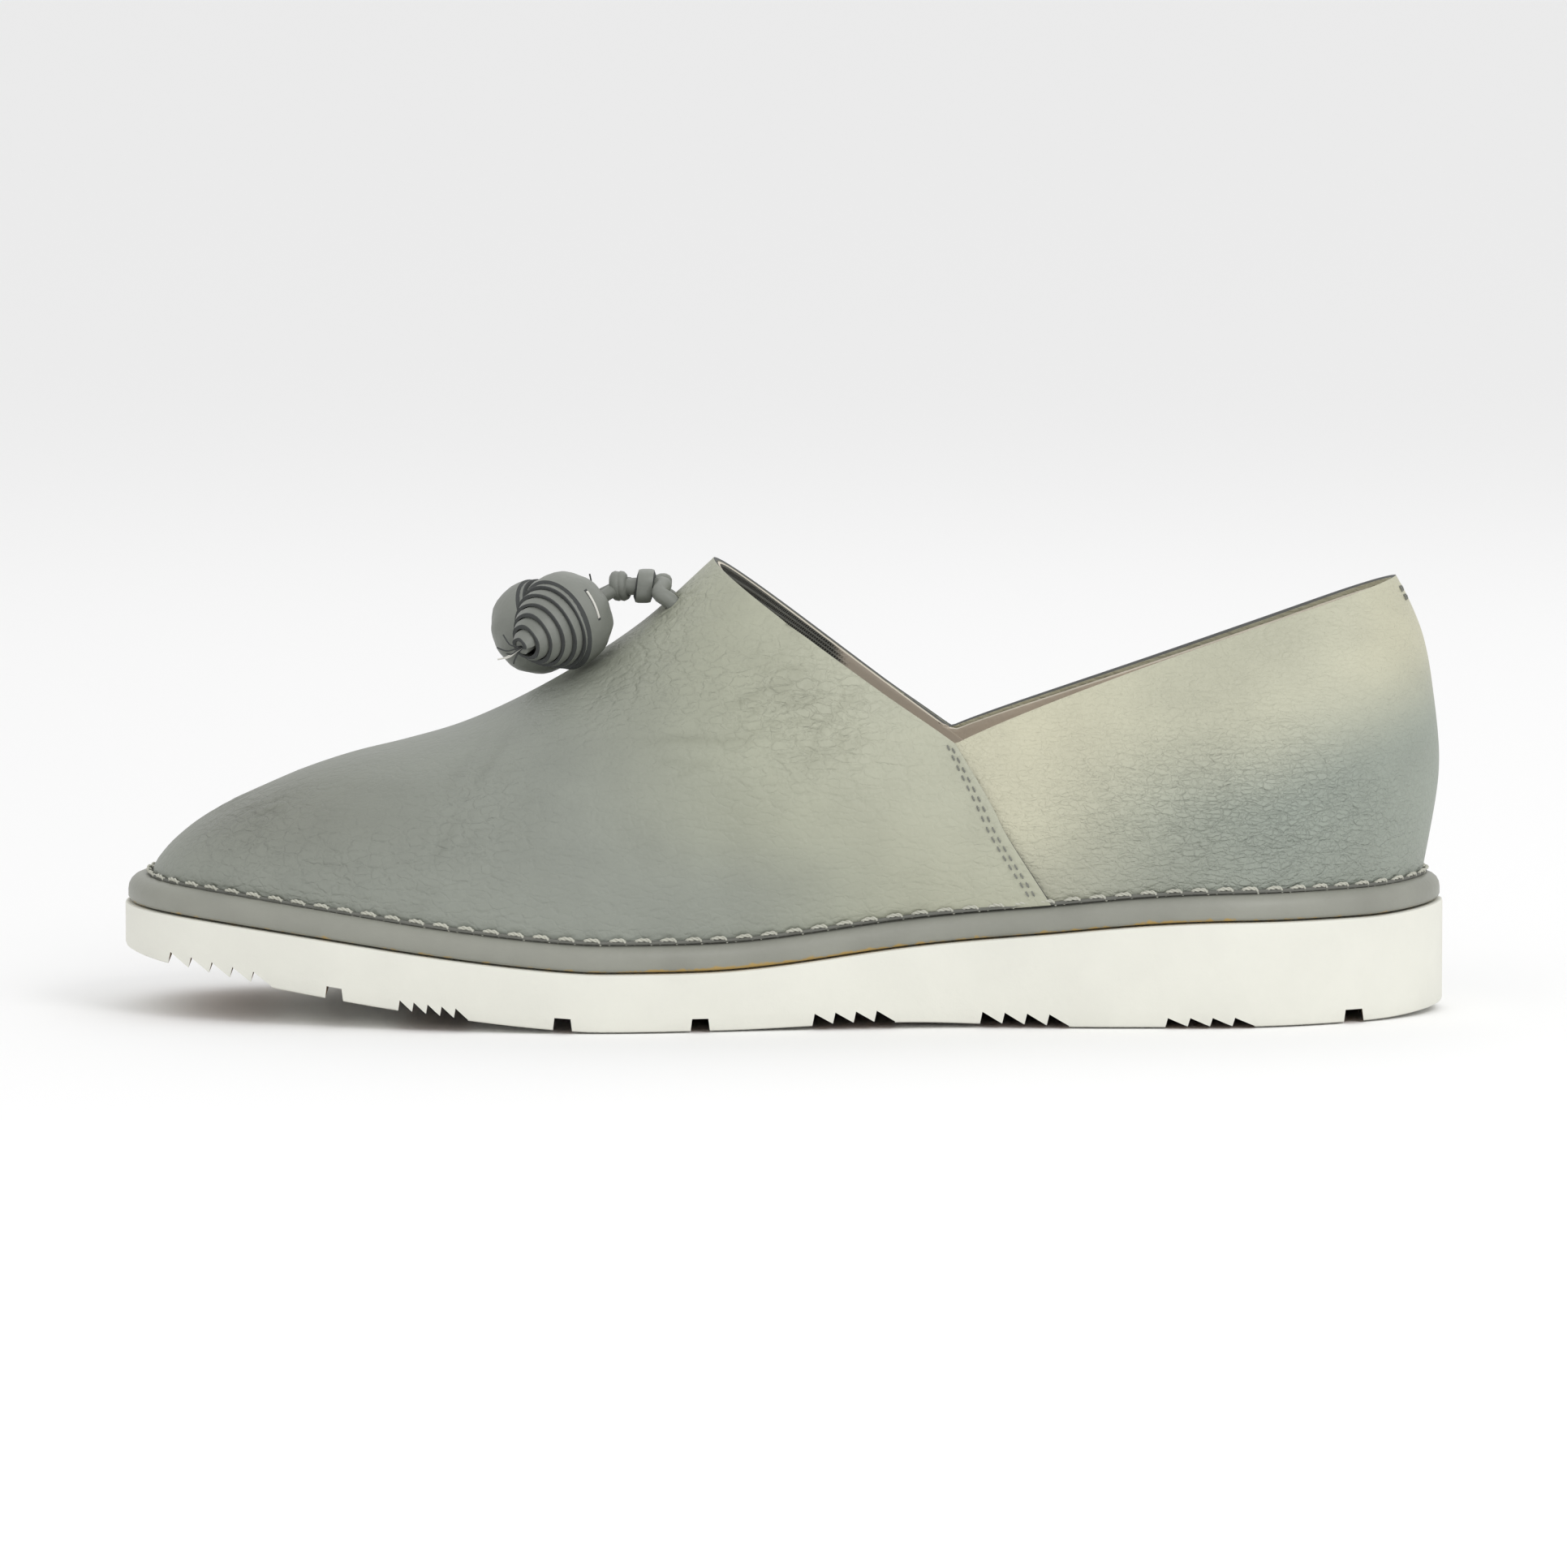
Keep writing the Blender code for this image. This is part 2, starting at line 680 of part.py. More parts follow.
def make_wrap(centre, material, parts):
    work = bmesh.new()
    bmesh.ops.create_cube(work, size=1.0)
    for corner in work.verts:
        corner.co.x *= WRAP_LENGTH
        corner.co.y *= WRAP_WIDTH
        corner.co.z *= WRAP_HEIGHT
    mesh = bpy.data.meshes.new("cord_wrap")
    work.to_mesh(mesh)
    work.free()
    mesh.materials.append(material)
    wrap = bpy.data.objects.new("cord_wrap", mesh)
    wrap.location = centre
    parts.objects.link(wrap)
    bevel = wrap.modifiers.new("round", "BEVEL")
    bevel.width = WRAP_HEIGHT * 0.28
    bevel.segments = 3


def turned(name, profile, foot, axis, material, collection):
    """A closed solid turned round an axis: the profile holds (distance along, radius) pairs."""
    points, faces = [], []
    for along, radius in profile[1:-1]:
        for n in range(TURNED_STEPS):
            turn = 2 * math.pi * n / TURNED_STEPS
            points.append(Vector((radius * math.cos(turn), radius * math.sin(turn), along)))
    rings = len(profile) - 2
    for n in range(rings - 1):
        faces += band(n * TURNED_STEPS, (n + 1) * TURNED_STEPS, TURNED_STEPS)
    first, last = len(points), len(points) + 1
    points += [Vector((0, 0, profile[0][0])), Vector((0, 0, profile[-1][0]))]
    for n in range(TURNED_STEPS):
        after = (n + 1) % TURNED_STEPS
        faces.append((first, after, n))
        top = (rings - 1) * TURNED_STEPS
        faces.append((last, top + n, top + after))
    turn = axis.to_track_quat("Z", "Y")
    points = [foot + turn @ p for p in points]
    return new_object(name, points, faces, material, collection)


def ring_profile():
    """Half outline of a tassel from its small end to its cap: stepped rings, then a smooth cap."""
    profile = [(0.0, 0.0), (0.0, 0.14 * TASSEL_RADIUS)]
    for n in range(TASSEL_RINGS):
        low = 0.02 + 0.52 * n / TASSEL_RINGS
        high = 0.02 + 0.52 * (n + 1) / TASSEL_RINGS
        wide = 0.20 + 0.74 * math.sin((n + 0.6) / TASSEL_RINGS * math.pi / 2)
        profile.append((low * TASSEL_LENGTH, wide * TASSEL_RADIUS))
        profile.append((high * TASSEL_LENGTH, wide * TASSEL_RADIUS + 0.1 * RING_STEP))
        profile.append((high * TASSEL_LENGTH, wide * TASSEL_RADIUS - RING_STEP))
    for along, wide in ((0.56, 0.97), (0.66, 1.0), (0.78, 0.94), (0.89, 0.78), (0.96, 0.58), (1.0, 0.36)):
        profile.append((along * TASSEL_LENGTH, wide * TASSEL_RADIUS))
    return profile


def make_tassel(name, centre, knot, rings_out, material, parts):
    """A tassel on its neck. rings_out is true where its small end points away from the knot."""
    away = (centre - knot).normalized()
    far = (centre - knot).length + TASSEL_LENGTH / 2
    neck_end = KNOT_RADIUS + GAP
    body_start = far - TASSEL_LENGTH
    body = ring_profile()
    neck = 0.5 * CORD_DIAMETER
    if rings_out:
        body = [(TASSEL_LENGTH - along, radius) for along, radius in body[::-1]]
    profile = [(neck_end, 0.0), (neck_end, neck)]
    profile += [(body_start + along, radius) for along, radius in body if along > 1e-6 and radius > neck]
    profile.append((far, 0.12 * TASSEL_RADIUS if rings_out else 0.3 * TASSEL_RADIUS))
    profile.append((far, 0.0))
    turned(name, profile, knot, away, material, parts)


def make_tassels(surface, holes, material, parts):
    middle = (holes[0][0] + holes[1][0]) / 2
    wrap = middle + Vector((-1.9 * CORD_DIAMETER, 0.0, 1.05 * CORD_DIAMETER))
    knot = wrap + Vector((-WRAP_LENGTH / 2 - GAP - KNOT_RADIUS, 0.0, 0.0))
    make_cord(holes, wrap, material, parts)
    make_wrap(wrap, material, parts)
    ball = [(-KNOT_RADIUS * math.cos(math.pi * n / 8), KNOT_RADIUS * math.sin(math.pi * n / 8)) for n in range(9)]
    turned("cord_knot", ball, knot, Vector((1, 0, 0)), material, parts)
    # Each tassel lies on the vamp at a place counted from the holes in tassel radii
    for name, forward, sideways, rings_out in (
        ("tassel_lateral", 1.85, -1.24, True),
        ("tassel_medial", 2.05, 0.74, False),
    ):
        x = middle.x - forward * TASSEL_RADIUS
        y = middle.y + sideways * TASSEL_RADIUS
        point, normal = lay_on(surface, x, y)
        centre = point + normal * (TASSEL_RADIUS + 4 * GAP)
        make_tassel(name, centre, knot, rings_out, material, parts)


def main():
    for thing in list(bpy.data.objects):
        bpy.data.objects.remove(thing, do_unlink=True)
    scene = bpy.context.scene
    parts = bpy.data.collections.new("loafer")
    cutters = bpy.data.collections.new("cutters")
    scene.collection.children.link(parts)
    scene.collection.children.link(cutters)
    new_material("cutter", (1.0, 0.2, 0.1), 0.5)
    leather = new_material("upper_leather", (0.43, 0.45, 0.40), 0.5)
    rubber = new_material("white_rubber", (0.87, 0.86, 0.80), 0.6)
    rand_leather = new_material("rand_leather", (0.36, 0.36, 0.34), 0.45)
    trim = new_material("tassel_leather", (0.30, 0.31, 0.29), 0.5)
    inside = {
        "insole": new_material("insole_board", (0.12, 0.12, 0.11), 0.7),
        "footbed": new_material("footbed_leather", (0.62, 0.54, 0.42), 0.6),
    }
    make_outsole(rubber, parts, cutters)
    make_rand(rand_leather, parts)
    outer, inner = upper_grids()
    upper = make_upper(outer, inner, leather, parts)
    make_inside(inner, inside, parts)
    surface = outer_surface(outer)
    holes = hole_points(surface)
    drill_holes(upper, holes, cutters)
    make_tassels(surface, holes, trim, parts)


main()
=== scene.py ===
import math
import random

import bmesh
import bpy
import numpy as np
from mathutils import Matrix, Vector
from mathutils.bvhtree import BVHTree


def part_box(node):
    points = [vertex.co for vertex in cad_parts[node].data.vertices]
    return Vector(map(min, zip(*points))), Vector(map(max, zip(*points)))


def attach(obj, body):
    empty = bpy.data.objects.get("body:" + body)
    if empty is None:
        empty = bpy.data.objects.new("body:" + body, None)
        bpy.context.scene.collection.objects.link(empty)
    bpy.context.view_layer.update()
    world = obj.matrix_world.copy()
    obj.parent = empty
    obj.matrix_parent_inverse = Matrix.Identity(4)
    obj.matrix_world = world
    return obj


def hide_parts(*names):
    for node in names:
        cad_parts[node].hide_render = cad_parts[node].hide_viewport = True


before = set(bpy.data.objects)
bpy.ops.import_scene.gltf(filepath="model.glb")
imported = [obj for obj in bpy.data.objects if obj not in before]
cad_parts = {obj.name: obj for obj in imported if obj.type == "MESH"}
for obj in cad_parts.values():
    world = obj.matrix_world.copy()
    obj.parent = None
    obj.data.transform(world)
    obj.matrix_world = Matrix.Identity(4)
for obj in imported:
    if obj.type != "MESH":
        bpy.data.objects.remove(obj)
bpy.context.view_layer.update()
random.seed(41)
bpy.ops.object.select_all(action="DESELECT")
print("frame loaded")

# The last, as in the solid part: metres, or shares of the sole's length counted from the toe
last = {
    "sole": 0.2724, "ball": 0.094, "foreSole": 0.0118, "heelSole": 0.0213, "toeThin": 0.0026,
    "spring": 0.0126, "waistLift": 0.0010, "heelBevel": 0.0014, "rand": 0.0056, "gap": 0.0003,
    "toeSetback": 0.0058, "heelSetback": 0.0003, "ledge": 0.0056, "bulge": 0.020, "instep": 0.069,
    "collarLow": 0.0573, "heelHeight": 0.0895, "medialDrop": 0.003, "lap": 0.0010, "lapFade": 0.030,
    "edgeBand": 0.0014, "springEnd": 0.360, "waistStart": 0.450, "waistEnd": 0.720, "bevelStart": 0.935,
    "thinEnd": 0.200, "wedgeStart": 0.420, "wedgeEnd": 0.840, "throatAt": 0.447, "lowAt": 0.628,
    "seamFootAt": 0.700, "holesAt": 0.4156, "holeSpacing": 0.016, "holeRadius": 0.0019,
}
# soleLat, soleMed, ledge, wideLat, wideMed, riseLat, riseMed, crown, ridge, arch, shoulder
sections = (
    (0.029, 0.029, 1.00, 0.032, 0.032, 0.08, 0.08, 0.000, 0.032, 2.20, 2.10),
    (-0.147, 0.230, 0.96, -0.137, 0.215, 0.10, 0.10, 0.100, 0.034, 2.20, 2.10),
    (-0.274, 0.349, 0.89, -0.255, 0.323, 0.18, 0.18, 0.201, 0.037, 2.30, 2.10),
    (-0.380, 0.429, 0.75, -0.353, 0.403, 0.30, 0.30, 0.317, 0.045, 2.30, 2.00),
    (-0.464, 0.498, 0.61, -0.439, 0.464, 0.45, 0.45, 0.436, 0.055, 2.20, 1.95),
    (-0.500, 0.457, 0.55, -0.470, 0.450, 0.60, 0.65, 0.678, 0.069, 2.05, 1.75),
    (-0.440, 0.282, 0.52, -0.424, 0.410, 0.75, 0.90, 1.000, 0.080, 1.85, 1.55),
    (-0.393, 0.195, 0.46, -0.394, 0.379, 0.80, 1.10, 0.867, 0.053, 1.40, 1.25),
    (-0.405, 0.272, 0.50, -0.391, 0.357, 0.85, 1.10, 0.788, 0.027, 1.20, 1.15),
    (-0.394, 0.314, 0.57, -0.374, 0.338, 0.95, 1.00, 0.761, 0.005, 1.25, 1.20),
    (-0.294, 0.248, 0.68, -0.280, 0.258, 1.00, 1.00, 0.739, -0.005, 1.45, 1.35),
    (-0.160, 0.130, 0.75, -0.142, 0.130, 1.00, 1.00, 0.449, -0.005, 1.80, 1.80),
    (-0.016, -0.016, 0.75, -0.005, -0.005, 1.00, 1.00, 0.000, -0.005, 2.00, 2.00),
)
stations = len(sections) - 1
soleHalf = last["sole"] / 2
upperFront = -soleHalf + last["toeSetback"]
upperBack = soleHalf - last["heelSetback"]
upperMid = (upperFront + upperBack) / 2
upperHalf = (upperBack - upperFront) / 2


def roundTable(lateral, medial):
    return [row[lateral] for row in sections] + [row[medial] for row in sections][-2:0:-1]


soleY, wideY, rise = roundTable(0, 1), roundTable(3, 4), roundTable(5, 6)
ledges, crown, ridge = roundTable(2, 2), roundTable(7, 7), roundTable(8, 8)
arch, shoulder = roundTable(9, 9), roundTable(10, 10)


def bendThrough(a, b, c, d, t):
    square, cube = 2 * a - 5 * b + 4 * c - d, 3 * b - a - 3 * c + d
    return 0.5 * (2 * b + (c - a) * t + square * t * t + cube * t ** 3)


def smoothLine(points, steps):
    # a smooth curve through the points, steps to each stretch
    fine = []
    for i in range(len(points) - 1):
        a, b = points[max(i - 1, 0)], points[i]
        c, d = points[i + 1], points[min(i + 2, len(points) - 1)]
        fine += [bendThrough(a, b, c, d, t / steps) for t in range(steps)]
    return fine + [points[-1]]


def evenSpots(line, spots):
    # points of the line at the given shares of its length, each with the index of its stretch
    lengths = [0.0]
    for a, b in zip(line, line[1:]):
        lengths.append(lengths[-1] + (b - a).length)
    out, i = [], 0
    for share in spots:
        at = lengths[-1] * share
        while i < len(line) - 2 and lengths[i + 1] < at:
            i += 1
        out.append((line[i].lerp(line[i + 1], (at - lengths[i]) / max(lengths[i + 1] - lengths[i], 1e-9)), i))
    return out


def readTable(values, place):
    first = math.floor(place)
    a, b, c, d = (values[(first + step) % len(values)] for step in (-1, 0, 1, 2))
    return bendThrough(a, b, c, d, place - first)


def shareToX(share):
    return (share - 0.5) * last["sole"]


def ease(value, start, end):
    t = min(max((value - start) / (end - start), 0.0), 1.0)
    return t * t * (3 - 2 * t)


def groundAt(x):
    share = x / last["sole"] + 0.5
    spring = last["spring"] * max(1 - share / last["springEnd"], 0.0) ** 1.35
    middle = (last["waistStart"] + last["waistEnd"]) / 2
    waist = ease(share, last["waistStart"], middle) - ease(share, middle, last["waistEnd"])
    bevel = max((share - last["bevelStart"]) / (1 - last["bevelStart"]), 0.0) ** 2
    return spring + last["waistLift"] * waist + last["heelBevel"] * bevel


def soleTop(x):
    share = x / last["sole"] + 0.5
    wedge = ease(share, last["wedgeStart"], last["wedgeEnd"])
    thin = last["toeThin"] * max(1 - share / last["thinEnd"], 0.0) ** 2
    return groundAt(x) + last["foreSole"] + (last["heelSole"] - last["foreSole"]) * wedge - thin


def randTop(x):
    return soleTop(x) + last["gap"] + last["rand"]


def soleOutline(place):
    x = -soleHalf * math.cos(math.pi * place / stations)
    return Vector((x, last["ball"] * readTable(soleY, place), 0.0))


def outward(place):
    along = soleOutline(place + 0.02) - soleOutline(place - 0.02)
    return Vector((along.y, -along.x, 0.0)).normalized()


def insetOutline(place, inset):
    return soleOutline(place) - outward(place) * inset


def featherLine(place):
    point = insetOutline(place, last["ledge"] * readTable(ledges, place))
    point.z = randTop(point.x) + last["gap"]
    return point


def widestLine(place):
    x = upperMid - upperHalf * math.cos(math.pi * place / stations)
    z = randTop(x) + last["gap"] + last["bulge"] * readTable(rise, place)
    return Vector((x, last["ball"] * readTable(wideY, place), z))


def stationOf(x):
    return math.acos(min(max((upperMid - x) / upperHalf, -1.0), 1.0)) * stations / math.pi


def sectionAt(x, side):
    place = stationOf(x)
    edge = widestLine(place if side < 0 else 2 * stations - place)
    centre = last["ball"] * readTable(ridge, place)
    lift = (readTable(rise, place) + readTable(rise, 2 * stations - place)) / 2
    top = randTop(x) + last["gap"] + last["bulge"] * lift + last["instep"] * max(readTable(crown, place), 0.0)
    return centre, abs(edge.y - centre), edge.z, top, readTable(arch, place), readTable(shoulder, place)


def lastPoint(x, y):
    side = 1 if y > last["ball"] * readTable(ridge, stationOf(x)) else -1
    centre, half, low, top, archPower, shoulderPower = sectionAt(x, side)
    across = min(abs(y - centre) / max(half, 1e-6), 1.0)
    return Vector((x, y, low + (top - low) * (1 - across ** archPower) ** (1 / shoulderPower)))


def findHeelEnd():
    front, back = shareToX(last["lowAt"]), upperBack
    for _ in range(50):
        middle = (front + back) / 2
        if sectionAt(middle, 1)[3] > last["heelHeight"] or middle < shareToX(last["bevelStart"] - 0.05):
            front = middle
        else:
            back = middle
    return front


collarFront, collarBack, collarDip = shareToX(last["throatAt"]), findHeelEnd(), shareToX(last["lowAt"])
seamShare = math.acos(1 - 2 * (collarDip - collarFront) / (collarBack - collarFront)) / math.pi
seamWide = stationOf((shareToX(last["lowAt"]) + shareToX(last["seamFootAt"])) / 2)
seamSweep = stations * math.acos(1 - 2 * last["seamFootAt"]) / math.pi - seamWide


def collarHeight(x, side):
    if x < collarDip:
        throat = sectionAt(collarFront, side)[3]
        height = throat + (last["collarLow"] - throat) * (x - collarFront) / (collarDip - collarFront)
    else:
        climb = max((x - collarDip) / (collarBack - collarDip), 0.0)
        height = last["collarLow"] + (last["heelHeight"] - last["collarLow"]) * climb ** 0.9
    if side > 0:
        height -= last["medialDrop"] * math.sin(math.pi * (x - collarFront) / (collarBack - collarFront))
    return height


def collarPoint(share, side):
    x = collarFront + (collarBack - collarFront) * (1 - math.cos(math.pi * share)) / 2
    centre, half, low, top, archPower, shoulderPower = sectionAt(x, side)
    up = min(max((collarHeight(x, side) - low) / (top - low), 0.0), 1.0)
    return Vector((x, centre + side * half * (1 - up ** shoulderPower) ** (1 / archPower), 0.0))


def collarShare(place):
    if place < seamWide:
        v = place / seamWide
        return seamShare * (0.45 * v + 0.55 * v * v)
    v = (place - seamWide) / (stations - seamWide)
    return seamShare + (1 - seamShare) * (1.3 * v - 0.3 * v * v)


def sweepAt(place):
    # how far the foot of a column runs back along the sole, most at the seam
    sweep = seamSweep * math.exp(-(((place - seamWide) / 2.2) ** 2))
    return sweep * ease(place, 0, 2) * (1 - ease(place, stations - 2, stations))


def lastColumn(place, side):
    turned = place if side < 0 else 2 * stations - place
    foot, wide = featherLine(turned - side * sweepAt(place)), widestLine(turned)
    rim = collarPoint(collarShare(place), side)
    points = []
    for t in (0.0, 0.14, 0.45, 0.75, 1.0):
        y = foot.y + (wide.y - foot.y) * math.sin(t * math.pi / 2)
        points.append(Vector((foot.x + (wide.x - foot.x) * t, y, foot.z + (wide.z - foot.z) * t)))
    reach = (rim.xy - wide.xy).length
    edge = last["edgeBand"] / reach
    shares = [s for s in ((row / 12) ** 1.5 for row in range(1, 12)) if (1 - s) > 2 * edge]
    while len(shares) < 11:
        shares.append((shares[-1] + 1 - edge) / 2)
    for s in shares + [1 - edge, 1.0]:
        points.append(lastPoint(wide.x + (rim.x - wide.x) * s, wide.y + (rim.y - wide.y) * s))
    for _ in range(3):
        before = points[:]
        for j in range(2, 9):
            points[j] = before[j] * 0.5 + (before[j - 1] + before[j + 1]) * 0.25
    return points


def evenRows(points, rows):
    # the same column with rows at even distances
    return [spot for spot, _ in evenSpots(smoothLine(points, 6), [row / (rows - 1) for row in range(rows)])]


def workOn(piece):
    bpy.ops.object.select_all(action="DESELECT")
    piece.select_set(True)
    bpy.context.view_layer.objects.active = piece


def applyModifier(piece, kind, **settings):
    modifier = piece.modifiers.new(kind.lower(), kind)
    for key, value in settings.items():
        setattr(modifier, key, value)
    bpy.context.view_layer.objects.active = piece
    bpy.ops.object.modifier_apply(modifier=modifier.name)


def mergePoints(piece, distance):
    # leaves the piece in edit mode with all of it selected
    bpy.ops.object.mode_set(mode="EDIT")
    bpy.ops.mesh.select_all(action="SELECT")
    bpy.ops.mesh.remove_doubles(threshold=distance)


# A sheet of leather or lining laid over the last: a grid primitive whose points move onto the last

def addGrid(name, columns, rows):
    bpy.ops.object.select_all(action="DESELECT")
    bpy.ops.mesh.primitive_grid_add(x_subdivisions=columns - 1, y_subdivisions=rows - 1, size=1)
    sheet = bpy.context.object
    sheet.name = name
    return sheet


def pointsOf(piece, label="co"):
    values = np.empty(len(piece.data.vertices) * 3)
    piece.data.vertices.foreach_get(label, values)
    return values.reshape(-1, 3)


def writeValues(piece, label, values):
    attribute = piece.data.attributes.get(label) or piece.data.attributes.new(label, "FLOAT", "POINT")
    attribute.data.foreach_set("value", values.astype(np.float32))


def gridIndex(sheet, columns, rows):
    # column and row of each vertex of a fresh grid primitive
    co = pointsOf(sheet)
    i = np.rint((co[:, 0] + 0.5) * (columns - 1)).astype(int)
    j = np.rint((co[:, 1] + 0.5) * (rows - 1)).astype(int)
    return i, j


def loftNormals(loft):
    along = np.gradient(loft, axis=0)
    up = np.gradient(loft, axis=1)
    normals = np.cross(up, along)
    normals /= np.maximum(np.linalg.norm(normals, axis=2, keepdims=True), 1e-9)
    if (normals[:, 3] * loft[:, 3] * (1, 1, 0)).sum() < 0:
        normals = -normals
    return normals


def layOverLast(name, loft):
    columns, rows = loft.shape[:2]
    sheet = addGrid(name, columns, rows)
    i, j = gridIndex(sheet, columns, rows)
    sheet.data.vertices.foreach_set("co", loft[i, j].ravel())
    sheet.data.update()
    return sheet


def vampPlaces(columns):
    # from the lateral seam round the toe to the medial seam
    return [(-1, seamWide * (1 - 2 * n / (columns - 1))) if 2 * n < columns - 1
            else (1, seamWide * (2 * n / (columns - 1) - 1)) for n in range(columns)]


def quarterPlaces(columns, tuck):
    # from under the lateral edge of the vamp round the heel to the medial one
    start = seamWide - tuck
    span = stations - start
    return [(-1, start + span * 2 * n / (columns - 1)) if 2 * n < columns - 1
            else (1, start + span * (2 - 2 * n / (columns - 1))) for n in range(columns)]


def lapAt(place):
    back = upperMid - upperHalf * math.cos(math.pi * seamWide / stations)
    here = upperMid - upperHalf * math.cos(math.pi * place / stations)
    return last["lap"] * (1 - ease(back - here, 0, last["lapFade"]))


def lastGrid(places, rows):
    return np.array([[tuple(p) for p in evenRows(lastColumn(place, side), rows)] for side, place in places])


def softenHeel(loft, reach=8):
    # rounds the turn of the rim behind the heel
    count, rows = loft.shape[:2]
    soft = loft.copy()
    for n in range(reach, count - reach):
        soft[n] = loft[n - reach:n + reach + 1].mean(axis=0)
    near = np.exp(-(((np.arange(count) - (count - 1) / 2) / (0.15 * count)) ** 2))
    high = np.clip((np.arange(rows) / (rows - 1) - 0.45) / 0.5, 0, 1) ** 2
    return loft + (soft - loft) * near[:, None, None] * high[None, :, None]


def finishSheet(sheet, thickness, rimSlot, bevel):
    # wall inwards, then softly rounded cut edges
    workOn(sheet)
    applyModifier(sheet, "SOLIDIFY", thickness=thickness, offset=-1, use_rim=True,
                  material_offset_rim=rimSlot)
    applyModifier(sheet, "BEVEL", width=bevel, segments=2, limit_method="ANGLE",
                  angle_limit=math.radians(50), harden_normals=False)
    bpy.ops.object.shade_smooth_by_angle(angle=math.radians(50))


upperGrid = {"vampColumns": 421, "vampRows": 90, "quarterColumns": 221, "quarterRows": 66, "tuck": 0.55,
             "vampThick": 0.00095, "quarterThick": 0.0011, "liningThick": 0.0007, "cutRound": 0.00022,
             "liningRound": 0.0001, "vampLiningDepth": 0.00125, "quarterLiningDepth": 0.00122,
             "vampLiningRows": 60, "meshEnd": 0.0095, "meshSlant": 0.30}

vampColumns = vampPlaces(upperGrid["vampColumns"])
vampLoft = lastGrid(vampColumns, upperGrid["vampRows"])
vampNormals = loftNormals(vampLoft)
vampLaps = np.array([lapAt(place) for _, place in vampColumns])
vampLoft = vampLoft + vampNormals * vampLaps[:, None, None]
quarterColumns = quarterPlaces(upperGrid["quarterColumns"], upperGrid["tuck"])
quarterLoft = softenHeel(lastGrid(quarterColumns, upperGrid["quarterRows"]))
quarterNormals = loftNormals(quarterLoft)
print("last surface read", vampLoft.shape, quarterLoft.shape)


# Plates that follow the sole's outline: a grid primitive fitted to the outline, then extruded upwards

def outlineAt(share, inset):
    # lateral and medial edge points at one share of half a turn
    return insetOutline(share * stations, inset), insetOutline(-share * stations, inset)


def addPlate(name, levels, columns, rows):
    # levels: (inset, height function) from the underside up
    plate = addGrid(name, columns, rows)
    for label, values in zip(("column", "row"), gridIndex(plate, columns, rows)):
        plate.data.attributes.new(label, "INT", "POINT").data.foreach_set("value", values.astype(np.int32))
    bpy.ops.object.mode_set(mode="EDIT")
    bpy.ops.mesh.select_all(action="SELECT")
    for level, (inset, height) in enumerate(levels):
        if level:
            bpy.ops.mesh.extrude_region_move()
        pairs = [outlineAt(n / (columns - 1), inset) for n in range(columns)]
        work = bmesh.from_edit_mesh(plate.data)
        column, row = work.verts.layers.int["column"], work.verts.layers.int["row"]
        for v in work.verts:
            if v.select:
                low, high = pairs[v[column]]
                spot = low.lerp(high, v[row] / (rows - 1))
                v.co = (spot.x, spot.y, height(spot.x))
        bmesh.update_edit_mesh(plate.data)
    mergePoints(plate, 0.000004)
    bpy.ops.mesh.normals_make_consistent(inside=False)
    bpy.ops.object.mode_set(mode="OBJECT")
    return plate


def shadeSmooth(piece, degrees):
    workOn(piece)
    bpy.ops.object.shade_smooth_by_angle(angle=math.radians(degrees))


# Sole

sole = {"edgeRound": 0.0008, "topRound": 0.0005, "treadDepth": 0.0026}
# start, teeth, pitch (shares of the length), depth (share of treadDepth); no teeth is one square groove
tread = (
    (0.0359, 5, 0.0160, 1.00), (0.1555, 0, 0.0158, 1.00), (0.2117, 5, 0.0105, 0.88),
    (0.3266, 0, 0.0168, 1.00), (0.4294, 0, 0.0168, 1.00), (0.5215, 4, 0.0155, 1.00),
    (0.6471, 4, 0.0167, 1.00), (0.7859, 4, 0.0168, 0.77), (0.9199, 0, 0.0178, 1.00),
)


def grooveOutline(start, teeth, pitch, depth):
    x, pitch, depth = shareToX(start), pitch * last["sole"], depth * sole["treadDepth"]
    below = -sole["treadDepth"]
    if teeth == 0:
        lean = 0.14 * pitch
        return [(x, below), (x + lean, depth), (x + pitch - lean, depth), (x + pitch, below)]
    points = [(x, below), (x, 0.0)]
    for n in range(teeth):
        points += [(x + (n + 0.12) * pitch, depth), (x + (n + 1) * pitch, 0.12 * depth)]
    return points + [(x + teeth * pitch, below)]


def addGroove(number, outline):
    # a flat polygon from a circle primitive, pulled right across the sole
    bpy.ops.object.select_all(action="DESELECT")
    bpy.ops.mesh.primitive_circle_add(vertices=len(outline), radius=1, fill_type="NGON")
    groove = bpy.context.object
    groove.name = "groove" + str(number)
    for v, (x, up) in zip(groove.data.vertices, outline):
        v.co = (x, -last["ball"], groundAt(x) + up)
    bpy.ops.object.mode_set(mode="EDIT")
    bpy.ops.mesh.extrude_region_move(TRANSFORM_OT_translate={"value": (0, 2 * last["ball"], 0)})
    bpy.ops.mesh.select_all(action="SELECT")
    bpy.ops.mesh.normals_make_consistent(inside=False)
    bpy.ops.object.mode_set(mode="OBJECT")
    return groove


